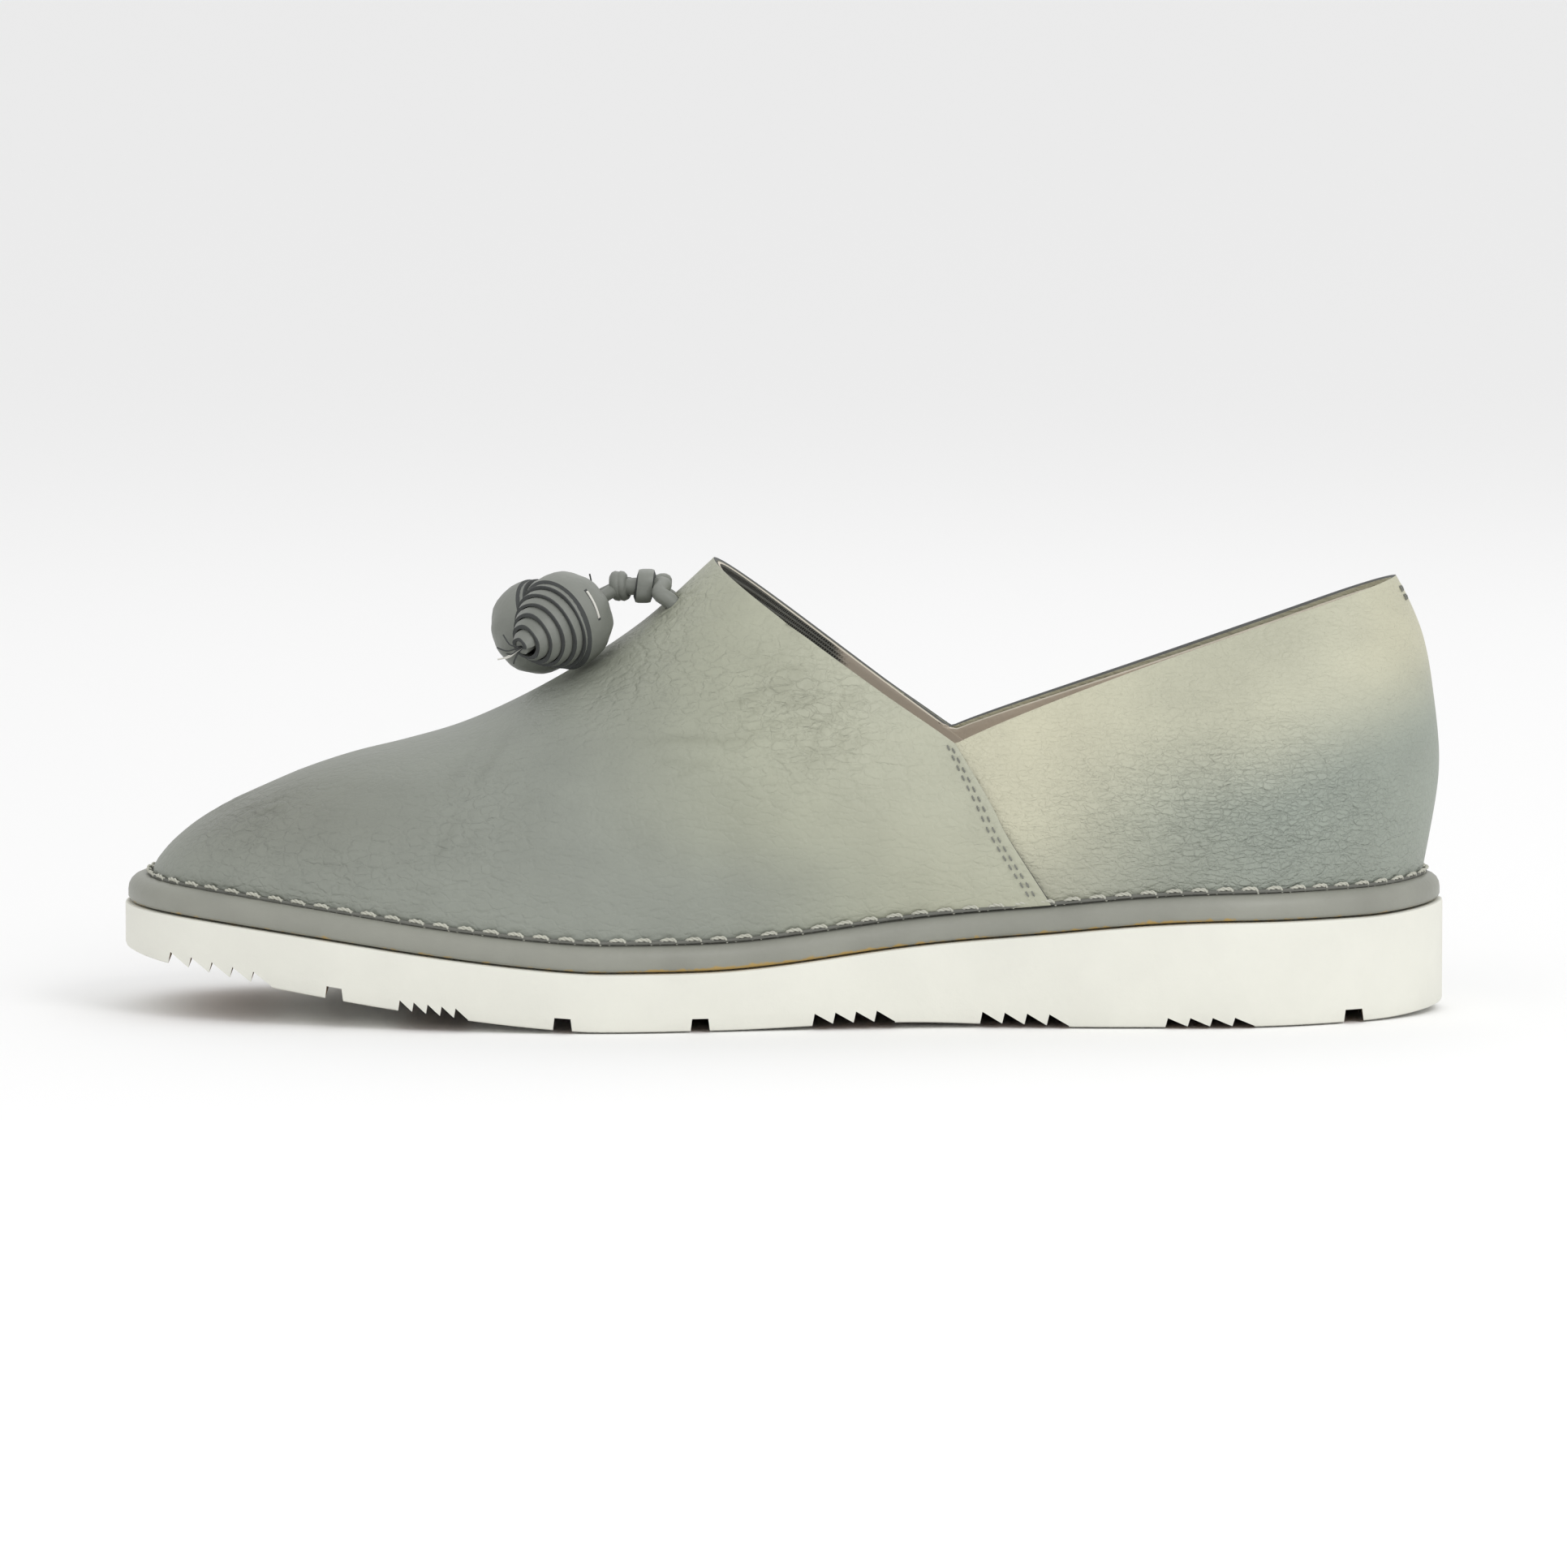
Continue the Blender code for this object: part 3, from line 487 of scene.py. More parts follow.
def makeSole(rubber, grooveRubber):
    r, t = sole["edgeRound"], sole["topRound"]
    piece = addPlate("wedgeSole", [
        (r, groundAt), (0.3 * r, lambda x: groundAt(x) + 0.3 * r), (0.0, lambda x: groundAt(x) + r),
        (0.0, lambda x: groundAt(x) + 1.3 * sole["treadDepth"]), (0.0, lambda x: soleTop(x) - t),
        (0.3 * t, lambda x: soleTop(x) - 0.3 * t), (t, soleTop)], columns=161, rows=11)
    piece.data.materials.append(rubber)
    grooves = [addGroove(n, grooveOutline(*row)) for n, row in enumerate(tread)]
    bpy.ops.object.select_all(action="DESELECT")
    for groove in grooves:
        groove.data.materials.append(grooveRubber)
        groove.select_set(True)
    bpy.context.view_layer.objects.active = grooves[0]
    bpy.ops.object.join()
    cutter = bpy.context.object
    applyModifier(piece, "BOOLEAN", object=cutter, operation="DIFFERENCE", solver="EXACT",
                  material_mode="TRANSFER")
    bpy.data.objects.remove(cutter)
    shadeSmooth(piece, 32)
    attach(piece, "root")
    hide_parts("outsole")


# Rand: the leather-wrapped layer

# cement: a trace everywhere, more in two places (amount, middle, radius)
rand = {"setback": 0.0006, "round": 0.0034, "smearTall": 0.0016, "trace": 0.52,
        "smears": ((0.36, -0.002, 0.030), (0.16, 0.075, 0.030))}


def makeRand(leather):
    inset, r = rand["setback"], rand["round"]
    low = lambda x: soleTop(x) + last["gap"]
    levels = [(inset + 0.5 * r, low), (inset + 0.1 * r, lambda x: low(x) + 0.07 * r),
              (inset, lambda x: low(x) + 0.25 * r)]
    for degrees in (0, 18, 36, 54, 72, 90):
        turn = math.radians(degrees)
        drop = r * (1 - math.sin(turn))
        levels.append((inset + r * (1 - math.cos(turn)), lambda x, drop=drop: randTop(x) - drop))
    piece = addPlate("wrappedRand", levels, columns=161, rows=9)
    co = pointsOf(piece)
    joint = np.array([soleTop(x) for x in co[:, 0]]) + last["gap"]
    smear = rand["trace"]
    for amount, middle, radius in rand["smears"]:
        smear = smear + amount * np.exp(-((co[:, 0] - middle) / radius) ** 2)
    glue = np.clip(1.15 - (co[:, 2] - joint) / rand["smearTall"], 0, 1) * smear
    writeValues(piece, "glue", glue)
    piece.data.materials.append(leather)
    shadeSmooth(piece, 60)
    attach(piece, "root")
    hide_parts("rand")


# Upper: vamp, quarters and linings, each its own sheet

def addLayer(name, loft, normals, depth, thickness, bevel, materials):
    piece = layOverLast(name, loft - normals * depth)
    for material in materials:
        piece.data.materials.append(material)
    face = piece.data.polygons[len(piece.data.polygons) // 2]
    middle = normals[normals.shape[0] // 2, normals.shape[1] // 2]
    if face.normal.dot(Vector(middle)) < 0:
        piece.data.flip_normals()
    finishSheet(piece, thickness, 1, bevel)
    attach(piece, "root")
    return piece


# Materials

def makeMaterial(name, settings):
    material = bpy.data.materials.new(name)
    material.use_nodes = True
    shader = material.node_tree.nodes["Principled BSDF"]
    for socket, value in settings.items():
        shader.inputs[socket].default_value = value
    return material, material.node_tree, shader


def plug(tree, socket, value):
    if hasattr(value, "is_linked"):
        tree.links.new(value, socket)
    else:
        socket.default_value = value


def addNode(tree, kind, *values, **settings):
    # values fill the first inputs; settings name properties or further inputs
    node = tree.nodes.new(kind)
    for key, value in settings.items():
        if hasattr(node, key):
            setattr(node, key, value)
        else:
            plug(tree, node.inputs[key.replace("_", " ")], value)
    for socket, value in zip(node.inputs, values):
        plug(tree, socket, value)
    return node


def calc(tree, operation, *values):
    return addNode(tree, "ShaderNodeMath", *values, operation=operation).outputs[0]


def vectorCalc(tree, operation, *values):
    return addNode(tree, "ShaderNodeVectorMath", *values, operation=operation).outputs[0]


def remap(tree, value, fromLow, fromHigh, toLow, toHigh, **settings):
    return addNode(tree, "ShaderNodeMapRange", value, fromLow, fromHigh, toLow, toHigh, **settings).outputs[0]


def newGroup(name, ins, outs):
    group = bpy.data.node_groups.new(name, "ShaderNodeTree")
    for label, value in ins.items():
        kind = "NodeSocketFloat" if value else "NodeSocketVector"
        socket = group.interface.new_socket(name=label, in_out="INPUT", socket_type=kind)
        if value:
            socket.default_value = value
    for label in outs:
        group.interface.new_socket(name=label, in_out="OUTPUT", socket_type="NodeSocketFloat")
    return group, group.nodes.new("NodeGroupInput").outputs, group.nodes.new("NodeGroupOutput").inputs


def addGroup(tree, group, **values):
    node = tree.nodes.new("ShaderNodeGroup")
    node.node_tree = group
    for label, value in values.items():
        plug(tree, node.inputs[label], value)
    return node.outputs


def coordsOf(tree, kind="Object"):
    return tree.nodes.new("ShaderNodeTexCoord").outputs[kind]


def attributeOf(tree, label, kind="Fac"):
    return addNode(tree, "ShaderNodeAttribute", attribute_name=label).outputs[kind]


def mix(tree, a, b, factor, blend="MIX"):
    node = tree.nodes.new("ShaderNodeMix")
    node.data_type = "RGBA"
    node.blend_type = blend
    for socket, value in ((node.inputs[0], factor), (node.inputs[6], a), (node.inputs[7], b)):
        plug(tree, socket, (*value, 1.0) if isinstance(value, tuple) else value)
    return node.outputs[2]


def greyTone(tree, value, low, high):
    tone = remap(tree, value, 0.3, 0.7, low, high)
    return addNode(tree, "ShaderNodeCombineColor", tone, tone, tone).outputs[0]


def grainGroup():
    # pebbled leather grain: bent cells and a fine noise, over a slow swell of tone
    group, give, take = newGroup("leatherGrain", {"Coords": None, "Scale": 900.0, "Pebble": 0.5},
                                 ("Height", "Tone"))
    wobble = addNode(group, "ShaderNodeTexNoise", give["Coords"], Scale=260.0, Detail=3.0)
    shift = (0.0016, 0.0016, 0.0016)
    bent = vectorCalc(group, "MULTIPLY_ADD", wobble.outputs["Color"], shift, give["Coords"])
    cells = addNode(group, "ShaderNodeTexVoronoi", bent, feature="SMOOTH_F1", Smoothness=0.35,
                    Scale=give["Scale"])
    fine = addNode(group, "ShaderNodeTexNoise", give["Coords"], Scale=2600.0, Detail=2.0)
    slow = addNode(group, "ShaderNodeTexNoise", give["Coords"], Scale=70.0, Detail=4.0)
    rough = calc(group, "MULTIPLY", fine.outputs["Fac"], 0.35)
    plug(group, take["Height"], calc(group, "MULTIPLY_ADD", cells.outputs["Distance"], give["Pebble"], rough))
    plug(group, take["Tone"], slow.outputs["Fac"])
    return group


def wrinkleGroup():
    # nets of fine lines in two sizes, bent by noise and drawn out along the leather
    group, give, take = newGroup("wrinkleNet", {"Coords": None, "Scale": 200.0, "Stretch": None}, ("Height",))
    stretched = vectorCalc(group, "MULTIPLY", give["Coords"], give["Stretch"])
    heights = []
    for size, bend, weight in ((1.0, 0.0050, 0.6), (2.3, 0.0028, 0.4)):
        noise = addNode(group, "ShaderNodeTexNoise", give["Coords"], Scale=150.0 * size, Detail=3.0,
                        Roughness=0.6)
        bent = vectorCalc(group, "MULTIPLY_ADD", noise.outputs["Color"], (bend, bend, bend), stretched)
        scale = calc(group, "MULTIPLY", give["Scale"], size)
        cells = addNode(group, "ShaderNodeTexVoronoi", bent, feature="DISTANCE_TO_EDGE", Scale=scale)
        heights.append(remap(group, cells.outputs["Distance"], 0.0, 0.16, 0.0, weight,
                             interpolation_type="SMOOTHSTEP"))
    plug(group, take["Height"], calc(group, "ADD", *heights))
    return group


def weaveGroup():
    # open weave: threads crossing, dark holes between them
    group, give, take = newGroup("weave", {"Coords": None, "Scale": None}, ("Height",))
    grown = vectorCalc(group, "MULTIPLY", give["Coords"], give["Scale"])
    parts = addNode(group, "ShaderNodeSeparateXYZ", grown)
    waves = [calc(group, "SINE", parts.outputs[label]) for label in ("X", "Y")]
    plug(group, take["Height"], remap(group, calc(group, "MAXIMUM", *waves), -0.6, 0.8, 0.0, 1.0))
    return group


leatherGrain = grainGroup()
wrinkleNet = wrinkleGroup()
weave = weaveGroup()
leatherLook = {"roughness": 0.50, "grainScale": 950.0, "bump": 0.00016, "wrinkleBump": 0.00048,
               "netScale": 160.0, "stretch": (0.75, 1.0, 1.5), "creaseShadeTone": (0.88, 0.88, 0.87),
               "cutEdge": (0.085, 0.088, 0.085)}
pebbledLook = dict(leatherLook, grainScale=720.0, bump=0.00026, wrinkleBump=0.00046, netScale=320.0,
                   stretch=(0.55, 1.0, 1.35))


def makeLeather(name, settings, look=leatherLook):
    material, tree, shader = makeMaterial(name, settings)
    place = coordsOf(tree)
    grain = addGroup(tree, leatherGrain, Coords=place, Scale=look["grainScale"], Pebble=0.8)
    # colour: the dyed tint, mottled a little, with painted shade darkening it down in the folds
    tone = greyTone(tree, grain["Tone"], 0.93, 1.05)
    mottled = mix(tree, attributeOf(tree, "tint", "Color"), tone, 1.0, "MULTIPLY")
    creaseShaded = mix(tree, mottled, look["creaseShadeTone"], attributeOf(tree, "fold"), "MULTIPLY")
    plug(tree, shader.inputs["Base Color"], creaseShaded)
    # wrinkles are strong where the leather is loose
    net = addGroup(tree, wrinkleNet, Coords=place, Scale=look["netScale"], Stretch=look["stretch"])
    wrinkle = calc(tree, "MULTIPLY", net["Height"], attributeOf(tree, "loose"))
    lines = addNode(tree, "ShaderNodeBump", Distance=look["wrinkleBump"], Strength=0.8, Height=wrinkle)
    pebble = addNode(tree, "ShaderNodeBump", Distance=look["bump"], Strength=0.6, Height=grain["Height"],
                     Normal=lines.outputs[0])
    plug(tree, shader.inputs["Normal"], pebble.outputs[0])
    gloss = remap(tree, grain["Tone"], 0.25, 0.75, look["roughness"] - 0.07, look["roughness"] + 0.09)
    plug(tree, shader.inputs["Roughness"], gloss)
    return material


def makePlain(name, colour, roughness, scale=900.0, bump=0.0001, spread=(0.9, 1.07), pebble=0.6):
    material, tree, shader = makeMaterial(name, {"Roughness": roughness})
    grain = addGroup(tree, leatherGrain, Coords=coordsOf(tree), Scale=scale, Pebble=pebble)
    tone = greyTone(tree, grain["Tone"], *spread)
    plug(tree, shader.inputs["Base Color"], mix(tree, colour, tone, 1.0, "MULTIPLY"))
    relief = addNode(tree, "ShaderNodeBump", Distance=bump, Strength=0.6, Height=grain["Height"])
    plug(tree, shader.inputs["Normal"], relief.outputs[0])
    return material


def threadLining(material, scale, calfColour):
    # woven mesh, and plain calf where the attribute says so
    tree = material.node_tree
    shader = tree.nodes["Principled BSDF"]
    thread = shader.inputs["Base Color"].links[0].from_socket
    net = addGroup(tree, weave, Coords=coordsOf(tree, "UV"), Scale=scale)
    woven = mix(tree, (0.03, 0.03, 0.03), thread, net["Height"])
    calf = attributeOf(tree, "calf")
    plug(tree, shader.inputs["Base Color"], mix(tree, woven, calfColour, calf))
    height = calc(tree, "MULTIPLY", net["Height"], calc(tree, "SUBTRACT", 1.0, calf))
    relief = addNode(tree, "ShaderNodeBump", Distance=0.0003, Strength=0.8, Height=height)
    plug(tree, shader.inputs["Normal"], relief.outputs[0])


def rubGlue(material, glueColour):
    # ochre cement smeared along the joint, broken up by noise
    tree = material.node_tree
    shader = tree.nodes["Principled BSDF"]
    under = shader.inputs["Base Color"].links[0].from_socket
    noise = addNode(tree, "ShaderNodeTexNoise", coordsOf(tree), Scale=520.0, Detail=4.0)
    smear = calc(tree, "ADD", noise.outputs["Fac"], attributeOf(tree, "glue"))
    mask = remap(tree, smear, 1.02, 1.18, 0.0, 0.85)
    plug(tree, shader.inputs["Base Color"], mix(tree, under, glueColour, mask))


vampLeather = makeLeather("vampLeather", {"Specular IOR Level": 0.45, "Coat Weight": 0.12,
                                          "Coat Roughness": 0.35})
quarterLeather = makeLeather("quarterLeather", {"Specular IOR Level": 0.45, "Coat Weight": 0.10,
                                                "Coat Roughness": 0.38}, pebbledLook)
cutEdge = makePlain("leatherCutEdge", leatherLook["cutEdge"], 0.75, scale=1500.0)
randLeather = makePlain("randLeather", (0.272, 0.276, 0.238), 0.45, scale=700.0, bump=0.00012)
rubGlue(randLeather, (0.46, 0.30, 0.075))
whiteRubber = makePlain("whiteRubber", (0.76, 0.757, 0.685), 0.62, scale=500.0, bump=0.00012,
                        spread=(0.97, 1.02))
grooveRubber = makePlain("grooveRubber", (0.30, 0.21, 0.13), 0.75, scale=500.0)
liningCalf = makePlain("liningCalf", (0.66, 0.58, 0.48), 0.65, scale=1100.0)
liningEdge = makePlain("liningEdge", (0.62, 0.57, 0.48), 0.8, scale=1100.0)
meshLining = makePlain("meshLining", (0.20, 0.205, 0.185), 0.8)
threadLining(meshLining, (2400.0, 480.0, 1.0), (0.62, 0.55, 0.46))
boardGrey = makePlain("boardGrey", (0.10, 0.103, 0.10), 0.85, scale=1300.0)
sockCalf = makePlain("sockCalf", (0.62, 0.56, 0.46), 0.6, scale=1000.0, bump=0.00014)
print("materials made")


# Dye: the tint of the leather over the last, hand-toned from grey toe to pale collar

def paintSheet(piece, tint, fold, loose):
    colour = piece.data.color_attributes.new("tint", "FLOAT_COLOR", "POINT")
    colour.data.foreach_set("color", np.column_stack([tint, np.ones(len(tint))]).astype(np.float32).ravel())
    # fold: mask of the painted crease shade, zero until the creases are pressed
    writeValues(piece, "fold", fold)
    writeValues(piece, "loose", loose)


def softStep(values, start, end):
    t = np.clip((values - start) / (end - start), 0, 1)
    return (t * t * (3 - 2 * t))[:, None]


dye = {"toe": (0.205, 0.213, 0.180), "blue": (0.262, 0.280, 0.244), "sage": (0.335, 0.348, 0.268),
       "pale": (0.440, 0.445, 0.345), "heelBlue": (0.270, 0.306, 0.268), "cream": (0.530, 0.515, 0.385)}


def dyed(tint, name, mask):
    return tint + (np.array(dye[name]) - tint) * mask


def vampTint(co):
    x, z = co[:, 0], co[:, 2]
    along = x + 0.35 * (z - 0.05)
    tint = np.tile(dye["toe"], (len(co), 1))
    tint = dyed(tint, "blue", softStep(along, -0.115, -0.060) * 0.8)
    tint = dyed(tint, "sage", softStep(along, -0.050, 0.000))
    tint = dyed(tint, "pale", softStep(along, -0.022, 0.034) * 0.85)
    low = softStep(0.045 - z, 0.0, 0.020) * softStep(0.034 - x, 0.0, 0.05)
    return dyed(tint, "blue", low * 0.8)


def quarterTint(co):
    x, z = co[:, 0], co[:, 2]
    tint = np.tile(dye["cream"], (len(co), 1))
    tint = dyed(tint, "pale", softStep(x, 0.050, 0.085) * softStep(0.135 - x, 0.0, 0.03) * 0.7)
    down = softStep(0.066 + 0.35 * np.maximum(x - 0.10, 0) - z - 0.10 * (0.10 - x), 0.0, 0.024)
    tint = dyed(tint, "heelBlue", down * softStep(x, 0.036, 0.105) * 0.90)
    return dyed(tint, "blue", softStep(0.044 - z, 0.0, 0.018) * 0.35)


def cordHoles(sheet):
    surface = BVHTree.FromObject(sheet, bpy.context.evaluated_depsgraph_get())
    x = shareToX(last["holesAt"])
    centre = last["ball"] * readTable(ridge, stationOf(x))
    holes = []
    for side in (1, -1):
        above = Vector((x, centre + side * last["holeSpacing"] / 2, 0.2))
        point, normal, _, _ = surface.ray_cast(above, Vector((0, 0, -1)))
        holes.append((point, normal if normal.z > 0 else -normal))
    return holes


def drill(piece, point, normal, radius):
    bpy.ops.object.select_all(action="DESELECT")
    bpy.ops.mesh.primitive_cylinder_add(vertices=20, radius=radius, depth=0.008, location=point,
                                        rotation=normal.to_track_quat("Z", "Y").to_euler())
    bit = bpy.context.object
    bit.data.materials.append(cutEdge)
    applyModifier(piece, "BOOLEAN", object=bit, solver="EXACT", material_mode="TRANSFER")
    bpy.data.objects.remove(bit)


def makeUpper():
    k = upperGrid
    vamp = addLayer("vamp", vampLoft, vampNormals, 0.0, k["vampThick"], k["cutRound"], [vampLeather, cutEdge])
    holes = cordHoles(vamp)
    for point, normal in holes:
        drill(vamp, point, normal, last["holeRadius"])
    co = pointsOf(vamp)
    paintSheet(vamp, vampTint(co), np.zeros(len(co)), np.full(len(co), 0.3))
    quarter = addLayer("quarters", quarterLoft, quarterNormals, 0.0, k["quarterThick"], k["cutRound"],
                       [quarterLeather, cutEdge])
    co = pointsOf(quarter)
    paintSheet(quarter, quarterTint(co), np.zeros(len(co)), np.full(len(co), 0.4))
    vampInside = lastGrid(vampColumns[::2], k["vampLiningRows"])
    vampLining = addLayer("vampLining", vampInside, loftNormals(vampInside), k["vampLiningDepth"],
                          k["liningThick"], k["liningRound"], [meshLining, liningEdge])
    co = pointsOf(vampLining)
    # the mesh ends along a slanted line; calf lines the wall behind it
    slant = k["meshSlant"] * np.maximum(0.078 - co[:, 2], 0)
    behind = softStep(co[:, 0] - k["meshEnd"] - slant, -0.0010, 0.0010)[:, 0]
    writeValues(vampLining, "calf", behind)
    quarterInside = quarterLoft[::2, ::2]
    quarterLining = addLayer("quarterLining", quarterInside, loftNormals(quarterInside),
                             k["quarterLiningDepth"], k["liningThick"], k["liningRound"],
                             [liningCalf, liningEdge])
    for piece in (vamp, quarter):
        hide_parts("upper")
    return vamp, quarter, holes


makeSole(whiteRubber, grooveRubber)
print("sole made")
makeRand(randLeather)
print("rand made")
vamp, quarter, holes = makeUpper()
print("upper made")


# Creases, given in millimetres: from the side (x, z) and from above (x, y)
# side or top, depth, width, points
creases = (
    ("side", 0.30, 2.0, ((-55.7, 59.5), (-59, 55), (-63.2, 48.7))),
    ("side", 0.22, 1.8, ((-60.0, 60.5), (-65, 54), (-68.5, 47.0))),
    ("side", 0.25, 1.7, ((-66.1, 44.9), (-69, 38.5), (-71.3, 32.5))),
    ("side", 0.20, 1.5, ((-95.4, 33.0), (-92, 32.6), (-88.3, 31.0))),
    ("side", 0.20, 1.5, ((-75.6, 28.5), (-72.5, 28.0), (-69.4, 26.6))),
    ("side", 0.28, 1.5, ((-32.6, 58.9), (-21.2, 58.6), (-8.5, 59.0), (-2.9, 61.4), (7.8, 63.4))),
    ("side", 0.34, 1.6, ((16.6, 67.6), (10.1, 63.3), (6.8, 59.9), (4.6, 55.3), (2.6, 53.0))),
    ("side", 0.26, 1.5, ((4.2, 75.0), (2.0, 73.0), (-3.9, 72.0), (-6.8, 70.0))),
    ("side", 0.30, 1.6, ((2.6, 72.0), (-2.9, 69.0), (-8.8, 66.0), (-13.4, 65.0))),
    ("side", 0.26, 1.5, ((8.8, 69.0), (4.2, 65.9), (-0.7, 65.3), (-2.9, 63.2))),
    ("side", 0.22, 1.5, ((20.0, 60.0), (14.0, 57.0), (10.5, 52.0))),
    ("side", 0.20, 1.6, ((-12.0, 55.0), (-20.0, 53.5), (-28.0, 54.5))),
    ("top", 0.36, 1.5, ((-121, 6), (-117, 3), (-112, 2), (-109, -1))),
    ("top", 0.28, 1.4, ((-117, 3), (-114, 6), (-110, 7))),
    ("top", 0.30, 1.4, ((-119, -1), (-114, -3), (-110, -4))),
    ("top", 0.36, 1.5, ((-113, -10), (-108, -13), (-103, -14), (-98, -17))),
    ("top", 0.30, 1.4, ((-111, -14), (-106, -18), (-101, -20))),
    ("top", 0.28, 1.4, ((-106, -11), (-101, -12), (-97, -14))),
    ("top", 0.30, 1.4, ((-116, 26), (-111, 25.5), (-106.5, 24))),
    ("top", 0.30, 1.4, ((-104.6, 16), (-101, 14.5), (-98, 12))),
    ("top", 0.30, 1.8, ((-41.2, 22.4), (-35, 28), (-29, 32.2))),
    ("top", 0.34, 1.5, ((-26, -3), (-22, -5), (-16, -6))),
    ("top", 0.30, 1.5, ((-25, -7), (-20, -9), (-16, -12))),
    ("top", 0.30, 1.5, ((-27, 17), (-22, 19), (-17, 21))),
    ("top", 0.28, 1.6, ((-1.2, -21.9), (3, -25), (6.7, -27.7))),
    ("top", 0.26, 1.6, ((-43.5, -9.3), (-38, -14), (-32, -16.9))),
    ("top", 0.24, 1.6, ((-40, -6), (-36, -11), (-29, -14))),
)
# looser patches: middle (mm), radius along and across (mm), how loose
loosePatches = (
    ((-112, 2, 38), (11, 14, 12), 0.9), ((-105, -15, 36), (12, 11, 12), 1.0),
    ((-111, 25, 34), (9, 7, 10), 0.8), ((-62, -36, 46), (12, 14, 16), 0.55),
    ((-20, -22, 66), (20, 12, 12), 0.7), ((6, -30, 62), (16, 12, 14), 0.9),
    ((-22, 0, 80), (9, 16, 14), 0.8), ((-36, 28, 62), (12, 10, 14), 0.7),
    ((-85, -30, 32), (20, 12, 8), 0.45), ((95, -30, 42), (36, 16, 15), 1.1),
    ((95, 28, 42), (36, 16, 15), 1.1), ((0, 34, 50), (34, 14, 18), 0.7),
)

# share of each depth pressed, height of the ridges, depth (mm) of a crease that gets the full painted shade,
# looseness everywhere
creaseLook = {"press": 0.38, "ridge": 0.5, "sideFull": 0.36, "topFull": 0.60, "loose": 0.30}


def withBranches(strokes):
    # shallow short branches beside each crease
    out = list(strokes)
    for face, depth, width, points in strokes:
        (ax, ay), (bx, by) = points[0], points[-1]
        size = math.hypot(bx - ax, by - ay)
        across = (-(by - ay) / size, (bx - ax) / size)
        for n in range(4):
            start = random.uniform(-0.15, 0.55)
            end = start + random.uniform(0.30, 0.60)
            off, lean = random.choice((-1, 1)) * random.uniform(1.6, 4.5), random.uniform(-1.6, 1.6)
            branch = []
            sway = off + random.uniform(-0.5, 0.5)
            for t, drift in ((start, off - lean), ((start + end) / 2, sway), (end, off + lean)):
                spot = (ax + (bx - ax) * t + across[0] * drift, ay + (by - ay) * t + across[1] * drift)
                branch.append(spot)
            out.append((face, depth * random.uniform(0.35, 0.60), 1.25, tuple(branch)))
    return out


def strokeDistance(flat, points):
    best = np.full(len(flat), 1e9)
    along = np.zeros(len(flat))
    lengths = [math.dist(a, b) for a, b in zip(points, points[1:])]
    done = 0.0
    for (a, b), length in zip(zip(points, points[1:]), lengths):
        a, b = np.array(a), np.array(b)
        t = np.clip(((flat - a) @ (b - a)) / (length * length), 0, 1)
        d = np.linalg.norm(flat - (a + t[:, None] * (b - a)), axis=1)
        nearer = d < best
        best = np.where(nearer, d, best)
        along = np.where(nearer, (done + t * length) / sum(lengths), along)
        done += length
    return best, along


creases = withBranches(creases)


def pressCreases(piece):
    # soft troughs with low ridges beside them, on the faces that a stroke was drawn on
    co = pointsOf(piece) * 1000
    normal = pointsOf(piece, "normal")
    wander = np.column_stack([np.sin(co[:, 2] * 0.41 + 1.0), np.sin(co[:, 0] * 0.37)]) * 0.5
    push, fold = np.zeros(len(co)), np.zeros(len(co))
    for face, depth, width, points in creases:
        flat = co[:, (0, 2)] if face == "side" else co[:, (0, 1)]
        seen = np.clip((-normal[:, 1] if face == "side" else normal[:, 2]) * 2.2 - 0.35, 0, 1)
        d, along = strokeDistance(flat + wander, points)
        strength = np.clip(np.sin(np.pi * np.clip(along, 0.02, 0.98)) * 1.6, 0, 1) * seen
        trough = np.exp(-((d / (0.55 * width)) ** 2))
        ridges = np.exp(-(((d - 1.25 * width) / (0.6 * width)) ** 2))
        push += creaseLook["press"] * depth * strength * (creaseLook["ridge"] * ridges - trough)
        # painted shade: fold is high down in each trough and darkens the leather's colour there
        fold += strength * trough * depth / creaseLook[face + "Full"]
    loose = np.full(len(co), creaseLook["loose"])
    for middle, radii, amount in loosePatches:
        loose += amount * np.exp(-(((co - np.array(middle)) / np.array(radii)) ** 2).sum(axis=1))
    co = (co + normal * push[:, None]) / 1000
    piece.data.vertices.foreach_set("co", co.ravel())
    writeValues(piece, "fold", np.clip(fold, 0, 1))
    writeValues(piece, "loose", np.clip(loose, 0, 1.4))
    piece.data.update()


pressCreases(vamp)
pressCreases(quarter)
print("creases pressed")


# Threads and laces

def addTube(name, points, radius, material, sides=3, smooth=4):
    data = bpy.data.curves.new(name, "CURVE")
    data.dimensions = "3D"
    data.bevel_depth = radius
    data.bevel_resolution = sides
    data.use_fill_caps = True
    spline = data.splines.new("POLY")
    fine = smoothLine(points, smooth)
    spline.points.add(len(fine) - 1)
    for spot, place in zip(spline.points, fine):
        spot.co = (*place, 1.0)
    tube = bpy.data.objects.new(name, data)
    bpy.context.scene.collection.objects.link(tube)
    workOn(tube)
    bpy.ops.object.convert(target="MESH")
    tube = bpy.context.object
    mergePoints(tube, 0.000005)
    bpy.ops.mesh.normals_make_consistent(inside=False)
    bpy.ops.object.mode_set(mode="OBJECT")
    tube.data.materials.append(material)
    bpy.ops.object.shade_smooth_by_angle(angle=math.radians(60))
    return tube


def joinPieces(pieces, name):
    bpy.ops.object.select_all(action="DESELECT")
    for piece in pieces:
        piece.select_set(True)
    bpy.context.view_layer.objects.active = pieces[0]
    if len(pieces) > 1:
        bpy.ops.object.join()
    joined = bpy.context.object
    joined.name = name
    return joined


